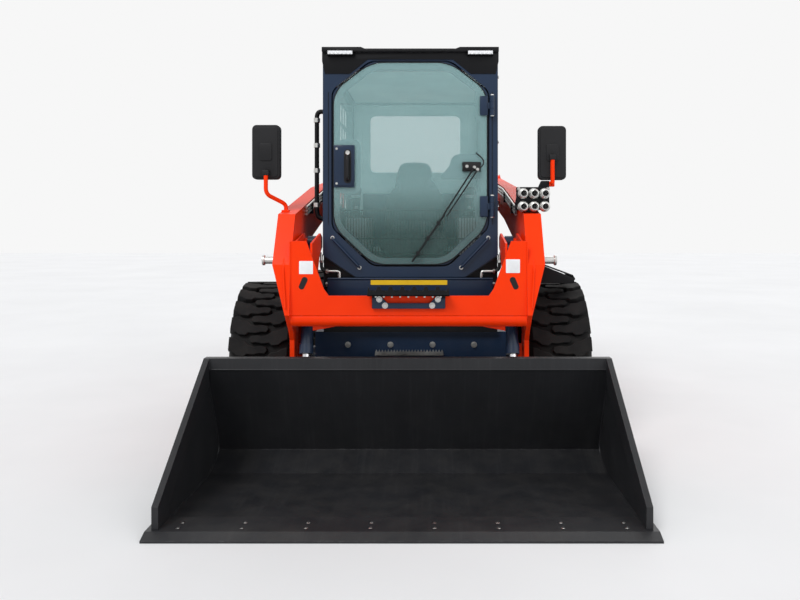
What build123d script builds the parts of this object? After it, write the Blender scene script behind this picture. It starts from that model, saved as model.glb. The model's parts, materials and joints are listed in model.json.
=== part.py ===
from build123d import *
import math
import os

# Skid steer loader, in millimetres. +X is the right side seen from the front, +Y points to the rear,
# +Z is up, and the origin is on the ground in the middle of the machine's length and width.
# Side profiles are drawn as (behind, height): behind is the distance behind the bucket's cutting edge.

# Driving dimensions along the machine
EDGE_TO_FRONT_AXLE = 1455.0
WHEELBASE = 1210.0
REAR_OVERHANG = 1025.0
REAR_AXLE = EDGE_TO_FRONT_AXLE + WHEELBASE
OVERALL_LENGTH = REAR_AXLE + REAR_OVERHANG
EDGE_Y = -OVERALL_LENGTH / 2

# Wheels
TYRE_RADIUS = 418.0
TYRE_WIDTH = 310.0
TREAD_DEPTH = 26.0
RIM_RADIUS = 208.0
RIM_WALL = 12.0
RIM_FLANGE = 16.0
WHEEL_X = 761.0
AXLE_RADIUS = 38.0
HUB_RADIUS = 78.0
HOUSING_RADIUS = 95.0
HOUSING_END = 575.0
SEAT_GAP = 0.3
RUNNING_GAP = 0.5

# Bucket
EDGE_WIDTH = 1880.0
EDGE_DEPTH = 185.0
EDGE_THICKNESS = 25.0
EDGE_BEVEL = 45.0
EDGE_HOLE_RADIUS = 9.0
EDGE_HOLE_PITCH = 237.0
EDGE_HOLE_COLUMNS = 8
EDGE_HOLE_ROW_GAP = 50.0
EDGE_HOLE_SETBACK = 80.0
BUCKET_HALF_WIDTH = 920.0
BUCKET_SIDE = 12.0
BUCKET_SKIN = 8.0
SIDE_SETBACK = 60.0
SIDE_NOSE_HEIGHT = 108.0
DOUBLER_WIDTH = 110.0
DOUBLER = 13.0
FLOOR_BEND = 747.0
HEEL = (913.0, 70.0)
BACK_TOP = (693.0, 494.0)
LIP_HEIGHT = 50.0
LIP_DEPTH = 46.0

# Hitch between the lift arms and the bucket
HITCH = (915.0, 200.0)
TILT_ROD_PIN = (900.0, 400.0)
HITCH_PIN_RADIUS = 19.0
COUPLER_CORE_HALF = 450.0
EAR_THICKNESS = 12.0
BRACKET_THICKNESS = 10.0
PIN_GAP = 0.3

# Lift arms
ARM_INNER = 556.0
ARM_OUTER = 640.0
LEG_OUTER = 578.0
BOSS = 3.0
ARM_TUBE_RADIUS = 7.0
KNEE_TOP = (1010.0, 1207.0)
ARM_BEND = (1960.0, 1384.0)
LIFT_PIVOT_AHEAD_OF_REAR = 490.0
LIFT_PIVOT = (OVERALL_LENGTH - LIFT_PIVOT_AHEAD_OF_REAR, 1450.0)
LIFT_HUB_RADIUS = 98.0
LIFT_PIN_RADIUS = 35.0
TAPER_TOP = 960.0
TAPER_BOTTOM = 724.0

# Cylinders: pins as (behind, height), places across the machine as distances from the centre plane
LIFT_BASE_PIN = (LIFT_PIVOT[0] - 120.0, 700.0)
LIFT_ROD_PIN = (LIFT_PIVOT[0] - 900.0, 1290.0)
LIFT_CYLINDER_X = 505.0
LIFT_BARREL_RADIUS = 42.0
TILT_BASE_PIN = (1130.0, 1060.0)
TILT_CYLINDER_X = 500.0
TILT_BARREL_RADIUS = 30.0
TILT_BASE_GAP = 36.0
TILT_ROD_GAP = 26.0

# Cab
CAB_HALF = 443.0
CAB_FRONT = 1136.0
CAB_DEPTH = 1190.0
CAB_REAR = CAB_FRONT + CAB_DEPTH
CAB_BASE = 600.0
CAB_TOP = 1975.0
CAB_POST = 42.0
CAB_WALL = 30.0
ROOF_THICKNESS = 45.0
VISOR_TOP = 2045.0

# Door hinges: axis places as (x, behind), knuckles as (low, high)
DOOR_HINGE = (412.0, CAB_FRONT - 50.0)
DOOR_KNUCKLES = ((1188.0, 1294.0), (1698.0, 1799.0))
KNUCKLE_RADIUS = 12.0
HINGE_PIN_RADIUS = 7.0
DOOR_THICKNESS = 34.0
DOOR_FACE = CAB_FRONT - 38.0

# Body
BODY_HALF = 450.0
BODY_WALL = 10.0
CHAIN_CASE_HALF = 490.0
CHAIN_CASE_WIDTH = 150.0
BELLY_HEIGHT = 240.0
CHASSIS_FRONT = 1168.0
BUMPER_DEPTH = 110.0
REAR_DOOR_THICKNESS = 45.0
REAR_DOOR_HALF = 446.0
REAR_HINGE = (462.0, OVERALL_LENGTH - BUMPER_DEPTH + 45.0)
REAR_KNUCKLES = ((520.0, 640.0), (1120.0, 1240.0))


def at(points):
    """World Y and Z of side profile points given as (behind, height)."""
    return [(EDGE_Y + behind, height) for behind, height in points]


def side_slab(points, near, far):
    """A solid whose outline is a side profile, from X = near to X = far."""
    face = make_face(Polyline(*at(points), close=True))
    return extrude(Plane.YZ.offset(near) * face, far - near, dir=(1, 0, 0))


def front_slab(points, behind, depth):
    """A solid whose outline is drawn as (x, height), from its front plane backwards."""
    face = make_face(Polyline(*points, close=True))
    placed = Plane((0, EDGE_Y + behind, 0), x_dir=(1, 0, 0), z_dir=(0, -1, 0)) * face
    return extrude(placed, depth, dir=(0, 1, 0))


def block(x_range, behind_range, height_range):
    """A box between two places along each axis."""
    (x0, x1), (b0, b1), (z0, z1) = x_range, behind_range, height_range
    return Pos((x0 + x1) / 2, EDGE_Y + (b0 + b1) / 2, (z0 + z1) / 2) * Box(x1 - x0, b1 - b0, z1 - z0)


def cross_rod(place, radius, near, far):
    """A round bar along X at a side profile point."""
    behind, height = place
    bar = Rot(0, 90, 0) * Cylinder(radius, far - near)
    return Pos((near + far) / 2, EDGE_Y + behind, height) * bar


def upright_rod(x, behind, radius, low, high):
    """A round bar along Z."""
    return Pos(x, EDGE_Y + behind, (low + high) / 2) * Cylinder(radius, high - low)


def both_sides(shape):
    """The shape and its mirror image across the centre plane."""
    return shape + mirror(shape, Plane.YZ)


def mitred(points, thickness):
    """The outline of a plate that follows a path, thickness to the left of its direction."""
    shifted = []
    for index, (px, py) in enumerate(points):
        before = points[max(index - 1, 0)]
        after = points[min(index + 1, len(points) - 1)]
        into = direction_of(before, (px, py)) if index > 0 else direction_of((px, py), after)
        out = direction_of((px, py), after) if index < len(points) - 1 else into
        normal_in = (-into[1], into[0])
        normal_out = (-out[1], out[0])
        reach = thickness / (1 + normal_in[0] * normal_out[0] + normal_in[1] * normal_out[1])
        shifted.append((px + reach * (normal_in[0] + normal_out[0]), py + reach * (normal_in[1] + normal_out[1])))
    return points + shifted[::-1]


def direction_of(start, end):
    """Unit vector from one 2D point to another."""
    run, rise = end[0] - start[0], end[1] - start[1]
    length = math.hypot(run, rise)
    return run / length, rise / length


def back_wall(along, outward):
    """Side profile point measured up the bucket's back wall and outwards from its inner face."""
    up = direction_of(HEEL, BACK_TOP)
    return (HEEL[0] + up[0] * along + up[1] * outward, HEEL[1] + up[1] * along - up[0] * outward)


# Bucket

def bucket_shell():
    """Floor, heel and back wall bent from one skin, with side plates, top lip and mounting plate."""
    inner_path = [(EDGE_DEPTH, BUCKET_SKIN), (FLOOR_BEND, BUCKET_SKIN), HEEL, BACK_TOP]
    skin_outline = mitred(inner_path[::-1], BUCKET_SKIN)
    skin = side_slab(skin_outline, -BUCKET_HALF_WIDTH, BUCKET_HALF_WIDTH)
    lip_front = BACK_TOP[0]
    lip_top = BACK_TOP[1] + LIP_HEIGHT
    lip = block((-BUCKET_HALF_WIDTH, BUCKET_HALF_WIDTH), (lip_front, lip_front + LIP_DEPTH),
                (BACK_TOP[1], lip_top))
    heel_out = back_wall(0, BUCKET_SKIN)
    back_out = back_wall(math.dist(HEEL, BACK_TOP), BUCKET_SKIN)
    side_outline = [(SIDE_SETBACK, EDGE_THICKNESS), (SIDE_SETBACK, SIDE_NOSE_HEIGHT), (lip_front, lip_top),
                    (lip_front + LIP_DEPTH, lip_top), back_out, heel_out, (FLOOR_BEND, 0),
                    (EDGE_DEPTH, 0), (EDGE_DEPTH, EDGE_THICKNESS)]
    side = side_slab(side_outline, BUCKET_HALF_WIDTH - BUCKET_SIDE, BUCKET_HALF_WIDTH)
    doubler_outline = [(SIDE_SETBACK, EDGE_THICKNESS), (SIDE_SETBACK, SIDE_NOSE_HEIGHT), (lip_front, lip_top),
                       (lip_front, lip_top - DOUBLER_WIDTH),
                       (SIDE_SETBACK + DOUBLER_WIDTH, SIDE_NOSE_HEIGHT - 30), (SIDE_SETBACK + DOUBLER_WIDTH, EDGE_THICKNESS)]
    doubler = side_slab(doubler_outline, BUCKET_HALF_WIDTH - BUCKET_SIDE - DOUBLER, BUCKET_HALF_WIDTH - BUCKET_SIDE)
    mount_outline = [back_wall(*p) for p in ((30, BUCKET_SKIN), (430, BUCKET_SKIN),
                                             (430, BUCKET_SKIN + 10), (30, BUCKET_SKIN + 10))]
    mounting_plate = side_slab(mount_outline, -COUPLER_CORE_HALF, COUPLER_CORE_HALF)
    return skin + lip + both_sides(side) + both_sides(doubler) + mounting_plate


def cutting_edge():
    """Bevelled edge plate with pairs of bolt holes."""
    outline = [(0, 0), (0, 8), (EDGE_BEVEL, EDGE_THICKNESS), (EDGE_DEPTH, EDGE_THICKNESS), (EDGE_DEPTH, 0)]
    plate = side_slab(outline, -EDGE_WIDTH / 2, EDGE_WIDTH / 2)
    first = -EDGE_HOLE_PITCH * (EDGE_HOLE_COLUMNS - 1) / 2
    for column in range(EDGE_HOLE_COLUMNS):
        for row in range(2):
            behind = EDGE_HOLE_SETBACK + row * EDGE_HOLE_ROW_GAP
            plate -= upright_rod(first + column * EDGE_HOLE_PITCH, behind, EDGE_HOLE_RADIUS, -1, EDGE_THICKNESS + 1)
    return plate


def quick_attach():
    """Coupler frame behind the bucket: core plate, cross tube, four ears for the pins and two latch levers."""
    core_face = BUCKET_SKIN + 10 + SEAT_GAP
    core_outline = [back_wall(*p) for p in ((60, core_face), (420, core_face), (420, core_face + 22),
                                            (60, core_face + 22))]
    core = side_slab(core_outline, -COUPLER_CORE_HALF, COUPLER_CORE_HALF)
    window_outline = [back_wall(*p) for p in ((170, core_face - 5), (350, core_face - 5),
                                              (350, core_face + 30), (170, core_face + 30))]
    core -= side_slab(window_outline, -220, 220)
    outer_ear = TILT_CYLINDER_X + TILT_ROD_GAP + EAR_THICKNESS
    tube = cross_rod(HITCH, 30, -outer_ear, outer_ear)
    web_outline = [back_wall(*p) for p in ((90, core_face + 20), (135, core_face + 20), (135, 60), (90, 60))]
    web = side_slab(web_outline, -COUPLER_CORE_HALF, COUPLER_CORE_HALF)
    coupler = core + tube + web
    for near in (TILT_CYLINDER_X - TILT_ROD_GAP - EAR_THICKNESS, TILT_CYLINDER_X + TILT_ROD_GAP):
        hull = make_hull((Pos(*at([HITCH])[0]) * Circle(46)).edges() + (Pos(*at([TILT_ROD_PIN])[0]) * Circle(38)).edges())
        ear = extrude(Plane.YZ.offset(near) * hull, EAR_THICKNESS, dir=(1, 0, 0))
        coupler += both_sides(ear)
    coupler += both_sides(cross_rod(HITCH, HITCH_PIN_RADIUS, outer_ear, LEG_OUTER + 4))
    coupler += both_sides(cross_rod(HITCH, 32, LEG_OUTER + 1, LEG_OUTER + 12))
    coupler += both_sides(cross_rod(TILT_ROD_PIN, 24, outer_ear, outer_ear + 8))
    lever_face = BUCKET_SKIN + 32
    lever = [back_wall(*p) for p in ((230, lever_face), (330, lever_face), (330, lever_face + 14), (230, lever_face + 14))]
    return coupler + both_sides(side_slab(lever, 300, 330))


# Lift arms

def arm(side_bore=True):
    """One lift arm on the right side: upper beam, knee and front leg."""
    pivot_behind, pivot_height = LIFT_PIVOT
    outline = [(HITCH[0] + 30, HITCH[1] - 30), (HITCH[0] + 40, HITCH[1]), (1040, 560), (1075, 840), (1150, 985),
               (1290, 1045), (1960, 1190), (pivot_behind - 110, pivot_height - 95), (pivot_behind, pivot_height),
               (pivot_behind - 60, pivot_height + 72), ARM_BEND, KNEE_TOP, (965, 1200), (828, 960), (806, 724),
               (900, 640), (936, 590), (936, 470), (HITCH[0] - 36, HITCH[1] + 20), (HITCH[0] - 30, HITCH[1] - 20)]
    body = side_slab(outline, ARM_INNER, ARM_OUTER)
    body += cross_rod(LIFT_PIVOT, LIFT_HUB_RADIUS, ARM_INNER, ARM_OUTER)
    body += cross_rod(HITCH, 40, ARM_INNER, LEG_OUTER)
    taper = [(ARM_OUTER + 60, TAPER_TOP), (ARM_OUTER, TAPER_TOP), (LEG_OUTER, TAPER_BOTTOM), (LEG_OUTER, 0), (ARM_OUTER + 60, 0)]
    body -= front_slab(taper, 500, 1200)
    body -= cross_rod(LIFT_PIVOT, LIFT_PIN_RADIUS + PIN_GAP, ARM_INNER - 1, ARM_OUTER + 1)
    body -= cross_rod(HITCH, HITCH_PIN_RADIUS + PIN_GAP, ARM_INNER - 1, LEG_OUTER + 1)
    body += cross_rod(LIFT_ROD_PIN, 45, ARM_INNER - BOSS, ARM_INNER)
    body += cross_rod(LIFT_ROD_PIN, 30, ARM_OUTER, ARM_OUTER + 10)
    body += cross_rod((950, 976), 17, ARM_OUTER, ARM_OUTER + 62)
    body += cross_rod((950, 976), 24, ARM_OUTER + 62, ARM_OUTER + 70)
    return body


def lift_arm_right():
    """Lift arm on the right side."""
    return arm()


def lift_arm_left():
    """Lift arm on the left side."""
    return mirror(arm(), Plane.YZ)


def cross_member():
    """Front cross plate with its ears and lower flange, the torque tube and the tilt cylinder brackets."""
    inner = ARM_INNER - SEAT_GAP
    outline = [(-inner, 722), (-inner, 1071), (-481, 1071), (-398, 845), (-376, 814), (376, 814), (398, 845),
               (481, 1071), (inner, 1071), (inner, 722)]
    plate = front_slab(outline, 830, 12)
    flange = side_slab([(830, 722), (842, 722), (890, 676), (881, 668)], -inner, inner)
    tube = cross_rod((866, 702), 36, -inner, inner)
    tube += block((-inner, inner), (842, 880), (722, 734))
    brackets = None
    for near in (TILT_CYLINDER_X - TILT_BASE_GAP - BRACKET_THICKNESS, TILT_CYLINDER_X + TILT_BASE_GAP):
        hull_outline = [(842, 1060), (842, 760), (900, 745), (1080, 1000), (1170, 1035), (1170, 1085), (1110, 1105)]
        bracket = side_slab(hull_outline, near, near + BRACKET_THICKNESS)
        brackets = bracket if brackets is None else brackets + bracket
    pin = cross_rod(TILT_BASE_PIN, 20, TILT_CYLINDER_X - TILT_BASE_GAP - BRACKET_THICKNESS, inner)
    return plate + flange + tube + both_sides(brackets + pin)


def step():
    """Serrated step plate on a bracket in the middle of the cross plate."""
    tread = block((-190, 190), (760, 829.7), (802, 812))
    bracket = block((-190, 190), (812, 829.7), (740, 802))
    return tread + bracket


def arm_tubes():
    """Hydraulic tubes along the inner faces of the arms."""
    tubes = None
    for drop in (0, 17, 34):
        route = Polyline(*[(ARM_INNER - ARM_TUBE_RADIUS - SEAT_GAP, y, z - drop) for y, z in at([(1250, 1240), (1960, 1372), (2990, 1492)])])
        tube = sweep(Plane(route @ 0, z_dir=route % 0) * Circle(ARM_TUBE_RADIUS), path=route, transition=Transition.ROUND)
        tubes = tube if tubes is None else tubes + tube
    return both_sides(tubes)


def coupler_block():
    """Auxiliary hydraulic couplers on the right knee."""
    front = KNEE_TOP[0]
    rise = (ARM_BEND[1] - KNEE_TOP[1]) / (ARM_BEND[0] - KNEE_TOP[0])
    low = KNEE_TOP[1] + SEAT_GAP
    body = side_slab([(front, low), (front + 60, low + 60 * rise), (front + 60, 1345), (front, 1345)], 562, 634)
    body += block((530, 690), (front, front + 50), (1225, 1345))
    for row in range(2):
        for column in range(3):
            place = Plane((556 + column * 53, EDGE_Y + front, 1255 + row * 60), z_dir=(0, -1, 0))
            body += extrude(place * Circle(23), 40)
    return body


def mirrors():
    """Rear-view mirrors with their stays, on the knees of the arms."""
    return mirror_housing(-1) + mirror_housing(1)


def mirror_housing(side):
    """One rear-view mirror with its stay."""
    x = side * 705
    case = Pos(x, EDGE_Y + 1010, 1497) * Box(138, 60, 276)
    case = fillet(case.edges().filter_by(Axis.Y), 24)
    stay = upright_rod(x, 1010, 11, 1240, 1360)
    arm_bar = block((min(side * (ARM_OUTER + SEAT_GAP), x), max(side * (ARM_OUTER + SEAT_GAP), x)), (999, 1021), (1150, 1172))
    stay += upright_rod(x, 1010, 11, 1150, 1250)
    return case + stay + arm_bar


# Cylinders

def cylinder_plane(base, tip, x):
    """Plane at the base pin whose normal points at the rod pin."""
    (y0, z0), (y1, z1) = at([base, tip])
    return Plane((x, y0, z0), x_dir=(1, 0, 0), z_dir=(0, y1 - y0, z1 - z0))


def along(plane, radius, start, end):
    """A round bar along a cylinder's axis between two distances from its base pin."""
    return plane.offset(start) * Cylinder(radius, end - start, align=(Align.CENTER, Align.CENTER, Align.MIN))


def eye(plane, radius, distance, half_width):
    """The eye of a cylinder, turned across its axis."""
    return plane.offset(distance) * (Rot(0, 90, 0) * Cylinder(radius, 2 * half_width))


def barrel(base, tip, x, radius, bore, length, eye_radius, eye_half, pin_radius):
    """Cylinder barrel with its base eye and a bore for the rod."""
    plane = cylinder_plane(base, tip, x)
    solid = along(plane, radius, eye_radius - 8, length) + eye(plane, eye_radius, 0, eye_half)
    solid += along(plane, radius + 4, length - 45, length)
    solid -= along(plane, bore, eye_radius + 20, length + 1)
    solid -= eye(plane, pin_radius + PIN_GAP, 0, eye_half + 1)
    return solid


def rod(base, tip, x, radius, inner_end, eye_radius, eye_half):
    """Piston rod with its eye and pin."""
    plane = cylinder_plane(base, tip, x)
    reach = math.dist(base, tip)
    return along(plane, radius, inner_end, reach) + eye(plane, eye_radius, reach, eye_half)


def lift_barrels():
    """Both lift cylinder barrels."""
    return both_sides(barrel(LIFT_BASE_PIN, LIFT_ROD_PIN, LIFT_CYLINDER_X, LIFT_BARREL_RADIUS, 25.3, 880, 44, 24, 25))


def lift_rods():
    """Both lift cylinder rods."""
    stub = cross_rod(LIFT_ROD_PIN, 25, LIFT_CYLINDER_X + 24, ARM_INNER - BOSS - RUNNING_GAP)
    return both_sides(rod(LIFT_BASE_PIN, LIFT_ROD_PIN, LIFT_CYLINDER_X, 25, 160, 44, 24) + stub)


def tilt_barrels():
    """Both tilt cylinder barrels."""
    return both_sides(barrel(TILT_BASE_PIN, TILT_ROD_PIN, TILT_CYLINDER_X, TILT_BARREL_RADIUS, 19.3, 570, 32, 20, 20))


def tilt_rods():
    """Both tilt cylinder rods."""
    return both_sides(rod(TILT_BASE_PIN, TILT_ROD_PIN, TILT_CYLINDER_X, 19, 160, 28, 20))


# Chassis

def chassis_frame():
    """Welded lower body: chain cases with their axle housings, belly, front plate and rear side walls."""
    case_inner = CHAIN_CASE_HALF - CHAIN_CASE_WIDTH
    case = block((case_inner, CHAIN_CASE_HALF), (CHASSIS_FRONT + 10, REAR_AXLE + 260), (BELLY_HEIGHT, 600))
    belly = block((-case_inner, case_inner), (CHASSIS_FRONT + 10, OVERALL_LENGTH - BUMPER_DEPTH), (BELLY_HEIGHT, BELLY_HEIGHT + 12))
    front = block((-CHAIN_CASE_HALF, CHAIN_CASE_HALF), (CHASSIS_FRONT, CHASSIS_FRONT + 10), (BELLY_HEIGHT, 600))
    wall = block((BODY_HALF - BODY_WALL, BODY_HALF), (CAB_REAR + 10, OVERALL_LENGTH - BUMPER_DEPTH), (600, 900))
    rear_case = block((case_inner, BODY_HALF), (REAR_AXLE + 260, OVERALL_LENGTH - BUMPER_DEPTH), (BELLY_HEIGHT, 600))
    frame = both_sides(case + wall + rear_case) + belly + front + rear_hinge(REAR_KNUCKLES[0])
    for axle in (EDGE_TO_FRONT_AXLE, REAR_AXLE):
        place = (axle, TYRE_RADIUS)
        frame += both_sides(cross_rod(place, HOUSING_RADIUS, CHAIN_CASE_HALF, CHAIN_CASE_HALF + 22))
        frame += both_sides(cross_rod(place, 66, CHAIN_CASE_HALF + 22, HOUSING_END))
        frame -= both_sides(cross_rod(place, AXLE_RADIUS + PIN_GAP, CHAIN_CASE_HALF - 20, HOUSING_END + 1))
    return frame


def rear_towers():
    """Rear uprights that carry the lift arms' pivots and the lift cylinders' base pins."""
    pivot_behind, pivot_height = LIFT_PIVOT
    base_behind, base_height = LIFT_BASE_PIN
    outer = ARM_INNER - 6
    outline = [(base_behind + 60, 600), (pivot_behind + 150, 600), (pivot_behind + 130, pivot_height + 90),
               (pivot_behind - 70, pivot_height + 90), (pivot_behind - 150, pivot_height - 60)]
    tower = side_slab(outline, BODY_HALF, outer)
    tower += cross_rod(LIFT_PIVOT, LIFT_PIN_RADIUS, outer, ARM_OUTER + 6)
    tower += cross_rod(LIFT_PIVOT, 60, ARM_OUTER + 6, ARM_OUTER + 16)
    base_plate = [(base_behind - 45, base_height - 50), (base_behind - 45, base_height + 20), (base_behind, base_height + 50),
                  (base_behind + 200, base_height + 150), (base_behind + 200, base_height - 50)]
    tower += side_slab(base_plate, outer, outer + 12)
    tower += cross_rod(LIFT_BASE_PIN, 25, BODY_HALF, outer + 12)
    return both_sides(tower)


def engine_block():
    """The engine, one plain block on the belly behind the cab."""
    return block((-240, 240), (CAB_REAR + 200, OVERALL_LENGTH - 480), (BELLY_HEIGHT + 12, 980))


def rear_hinge(knuckle):
    """The fixed half of one hinge of the rear door, on the body's right side."""
    return hinge_pair(REAR_HINGE, *knuckle, ((BODY_HALF, BODY_HALF + 6), (REAR_HINGE[1] - 130, REAR_HINGE[1])))


def engine_cover():
    """Hollow cover over the engine with its top slats, open at the rear and below."""
    outline = [(-BODY_HALF, 900), (-BODY_HALF, 1290), (-410, 1370), (410, 1370), (BODY_HALF, 1290), (BODY_HALF, 900)]
    wall = BODY_WALL
    inner = [(-BODY_HALF + wall, 890), (-BODY_HALF + wall, 1286), (-406, 1360), (406, 1360),
             (BODY_HALF - wall, 1286), (BODY_HALF - wall, 890)]
    start = CAB_REAR + 10
    depth = OVERALL_LENGTH - BUMPER_DEPTH - start
    cover = front_slab(outline, start, depth) - front_slab(inner, start + wall, depth)
    for index in range(8):
        cover += block((-300, 300), (start + 290 + index * 60, start + 320 + index * 60), (1370, 1384))
    return cover + rear_hinge(REAR_KNUCKLES[1])


def rear_bumper():
    """Rear bumper beam with two tie-down bores."""
    beam = block((-BODY_HALF, BODY_HALF), (OVERALL_LENGTH - BUMPER_DEPTH, OVERALL_LENGTH), (BELLY_HEIGHT + 60, 420))
    for x in (-380, 380):
        beam -= upright_rod(x, OVERALL_LENGTH - 45, 22, 200, 500)
    return beam


def side_step():
    """One-sided black plate above and behind the right front tyre."""
    return side_slab([(1290, 846), (1700, 846), (1700, 852), (1290, 852)], CAB_HALF + SEAT_GAP, 640)


# Cab

def octagon(half, low, high, corner):
    """Front outline as (x, height) with cut corners."""
    return [(-half, low + corner), (-half + corner, low), (half - corner, low), (half, low + corner),
            (half, high - corner), (half - corner, high), (-half + corner, high), (-half, high - corner)]


def cab_frame():
    """Hollow cab shell with its door opening, side windows and rear window cut."""
    shell = block((-CAB_HALF, CAB_HALF), (CAB_FRONT, CAB_REAR), (CAB_BASE, CAB_TOP))
    shell -= block((-CAB_HALF + CAB_WALL, CAB_HALF - CAB_WALL), (CAB_FRONT + CAB_POST, CAB_REAR - CAB_POST),
                   (CAB_BASE + 20, CAB_TOP + 1))
    shell -= front_slab(octagon(372, 905, 1935, 70), CAB_FRONT - 1, CAB_POST + 2)
    shell -= block((-300, 300), (CAB_REAR - CAB_POST - 1, CAB_REAR + 1), (1400, 1880))
    shell -= block((-CAB_HALF - 1, CAB_HALF + 1), (CAB_FRONT + 110, CAB_REAR - 110), (1250, 1900))
    hinge_x, hinge_behind = DOOR_HINGE
    for low, high in DOOR_KNUCKLES:
        shell += hinge_pair(DOOR_HINGE, low, high, ((hinge_x - 4, hinge_x + KNUCKLE_RADIUS), (hinge_behind, CAB_FRONT)))
    return shell


def cab_roof():
    """Roof panel on the cab."""
    roof = block((-CAB_HALF, CAB_HALF), (CAB_FRONT - 20, CAB_REAR), (CAB_TOP + SEAT_GAP, CAB_TOP + ROOF_THICKNESS))
    return fillet(roof.edges().filter_by(Axis.Z), 20)


def visor():
    """Black front visor with a lamp bar in each raised end."""
    top = VISOR_TOP
    outline = [(-447, CAB_TOP + ROOF_THICKNESS + SEAT_GAP), (-447, top), (-250, top), (-215, top - 14), (215, top - 14),
               (250, top), (447, top), (447, CAB_TOP + ROOF_THICKNESS + SEAT_GAP)]
    lamp = block((285, 415), (CAB_FRONT - 50, CAB_FRONT - 30), (2012, 2034))
    return front_slab(outline, CAB_FRONT - 30, 120) + both_sides(lamp)


def cab_windows():
    """Side and rear window panes inside the cab walls."""
    pane = block((CAB_HALF - CAB_WALL - 6.3, CAB_HALF - CAB_WALL - SEAT_GAP), (CAB_FRONT + 90, CAB_REAR - 90), (1230, 1920))
    rear_pane = block((-320, 320), (CAB_REAR - CAB_POST - 6.3, CAB_REAR - CAB_POST - SEAT_GAP), (1380, 1900))
    return both_sides(pane) + rear_pane


def side_screens():
    """Perforated screens on the outside of the cab's side windows."""
    outer = side_slab([(CAB_FRONT + 40, 1230), (CAB_REAR - 60, 1230), (CAB_REAR - 60, 1930), (CAB_FRONT + 40, 1930)],
                      CAB_HALF + SEAT_GAP, CAB_HALF + 6)
    for row in range(5):
        for column in range(8):
            low = 1260 + row * 130
            front = CAB_FRONT + 70 + column * 126
            outer -= block((CAB_HALF - 1, CAB_HALF + 8), (front, front + 100), (low, low + 105))
    return both_sides(outer)


def cab_floor():
    """Cab floor and seat base."""
    base = block((-CAB_HALF + CAB_WALL + 1, CAB_HALF - CAB_WALL - 1), (CAB_FRONT + 560, CAB_REAR - CAB_POST - 1),
                 (CAB_BASE + 20, 980))
    return base


def footwell_guard():
    """Upright bars in the footwell behind the door's lower edge."""
    guard = block((-360, 360), (CAB_FRONT + 230, CAB_FRONT + 238), (930, 940))
    guard += block((-360, 360), (CAB_FRONT + 230, CAB_FRONT + 238), (1130, 1140))
    for index in range(19):
        x = -351 + index * 39
        guard += block((x - 4, x + 4), (CAB_FRONT + 230, CAB_FRONT + 238), (620, 1140))
    return guard


def seat():
    """Seat cushion and backrest."""
    cushion = block((-235, 235), (CAB_FRONT + 590, CAB_FRONT + 1050), (980 + SEAT_GAP, 1090))
    back_rest = side_slab([(CAB_FRONT + 960, 1085), (CAB_FRONT + 1060, 1085), (CAB_FRONT + 1120, 1560),
                           (CAB_FRONT + 1050, 1570)], -215, 215)
    return cushion + back_rest


def consoles():
    """Control consoles with their levers beside the seat."""
    console = block((265, 385), (CAB_FRONT + 430, CAB_FRONT + 1000), (980 + SEAT_GAP, 1190))
    lever = upright_rod(325, CAB_FRONT + 480, 12, 1190, 1300) + Pos(325, EDGE_Y + CAB_FRONT + 480, 1320) * Sphere(28)
    return both_sides(console + lever)


def grab_rail():
    """Entry rail on the left side of the cab."""
    x = -CAB_HALF - 26
    rail = upright_rod(x, CAB_FRONT + 88, 12, 1180, 1730)
    for height in (1190, 1720):
        rail += block((x, -CAB_HALF - SEAT_GAP), (CAB_FRONT + 78, CAB_FRONT + 98), (height - 9, height + 9))
    return rail


def hinge_pair(axis, low, high, to_body):
    """The fixed half of one hinge: two lugs with their pin, joined to the body by a block."""
    x, behind = axis
    third = (high - low) / 3
    fixed = upright_rod(x, behind, HINGE_PIN_RADIUS, low, high)
    for start in (low, high - third):
        fixed += upright_rod(x, behind, KNUCKLE_RADIUS, start, start + third)
        fixed += block(to_body[0], to_body[1], (start, start + third))
    return fixed


def hinge_leaf(axis, low, high, to_door):
    """The moving half of one hinge: the middle knuckle with its leaf."""
    x, behind = axis
    third = (high - low) / 3
    start, end = low + third + RUNNING_GAP, high - third - RUNNING_GAP
    leaf = upright_rod(x, behind, KNUCKLE_RADIUS, start, end) + block(to_door[0], to_door[1], (start, end))
    return leaf - upright_rod(x, behind, HINGE_PIN_RADIUS + PIN_GAP, start - 1, end + 1)


def front_beam():
    """Beam across the front below the door."""
    return block((-415, 415), (CAB_FRONT - 60, CAB_FRONT - SEAT_GAP), (790, 868))


# Doors

def door_frame():
    """Octagonal door frame."""
    outer = front_slab(octagon(400, 885, 1962, 100), DOOR_FACE, DOOR_THICKNESS)
    frame = outer - front_slab(octagon(345, 940, 1907, 82), DOOR_FACE - 1, DOOR_THICKNESS + 2)
    hinge_x, hinge_behind = DOOR_HINGE
    for low, high in DOOR_KNUCKLES:
        frame += hinge_leaf(DOOR_HINGE, low, high, ((hinge_x - 60, hinge_x), (DOOR_FACE - 8, DOOR_FACE)))
    return frame


def door_glass():
    """Door window pane."""
    return front_slab(octagon(345 - SEAT_GAP, 940 + SEAT_GAP, 1907 - SEAT_GAP, 82), CAB_FRONT - 26, 8)


def door_handle():
    """Handle plate with its grip on the left edge of the door."""
    plate = block((-392, -330), (CAB_FRONT - 46, CAB_FRONT - 38 - SEAT_GAP), (1332, 1540))
    grip = block((-378, -354), (CAB_FRONT - 74, CAB_FRONT - 46), (1362, 1510))
    return plate + grip


def wiper():
    """Wiper arm and blade with its motor plate."""
    plate = block((245, 335), (CAB_FRONT - 38, CAB_FRONT - 26 - SEAT_GAP), (1420, 1480))
    (x0, z0), (x1, z1) = (310.0, 1436.0), (14.0, 967.0)
    bar = Plane((x0, EDGE_Y + CAB_FRONT - 44, z0), z_dir=(x1 - x0, 0, z1 - z0)) * Cylinder(
        6, math.dist((x0, z0), (x1, z1)), align=(Align.CENTER, Align.CENTER, Align.MIN))
    return plate + bar


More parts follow.
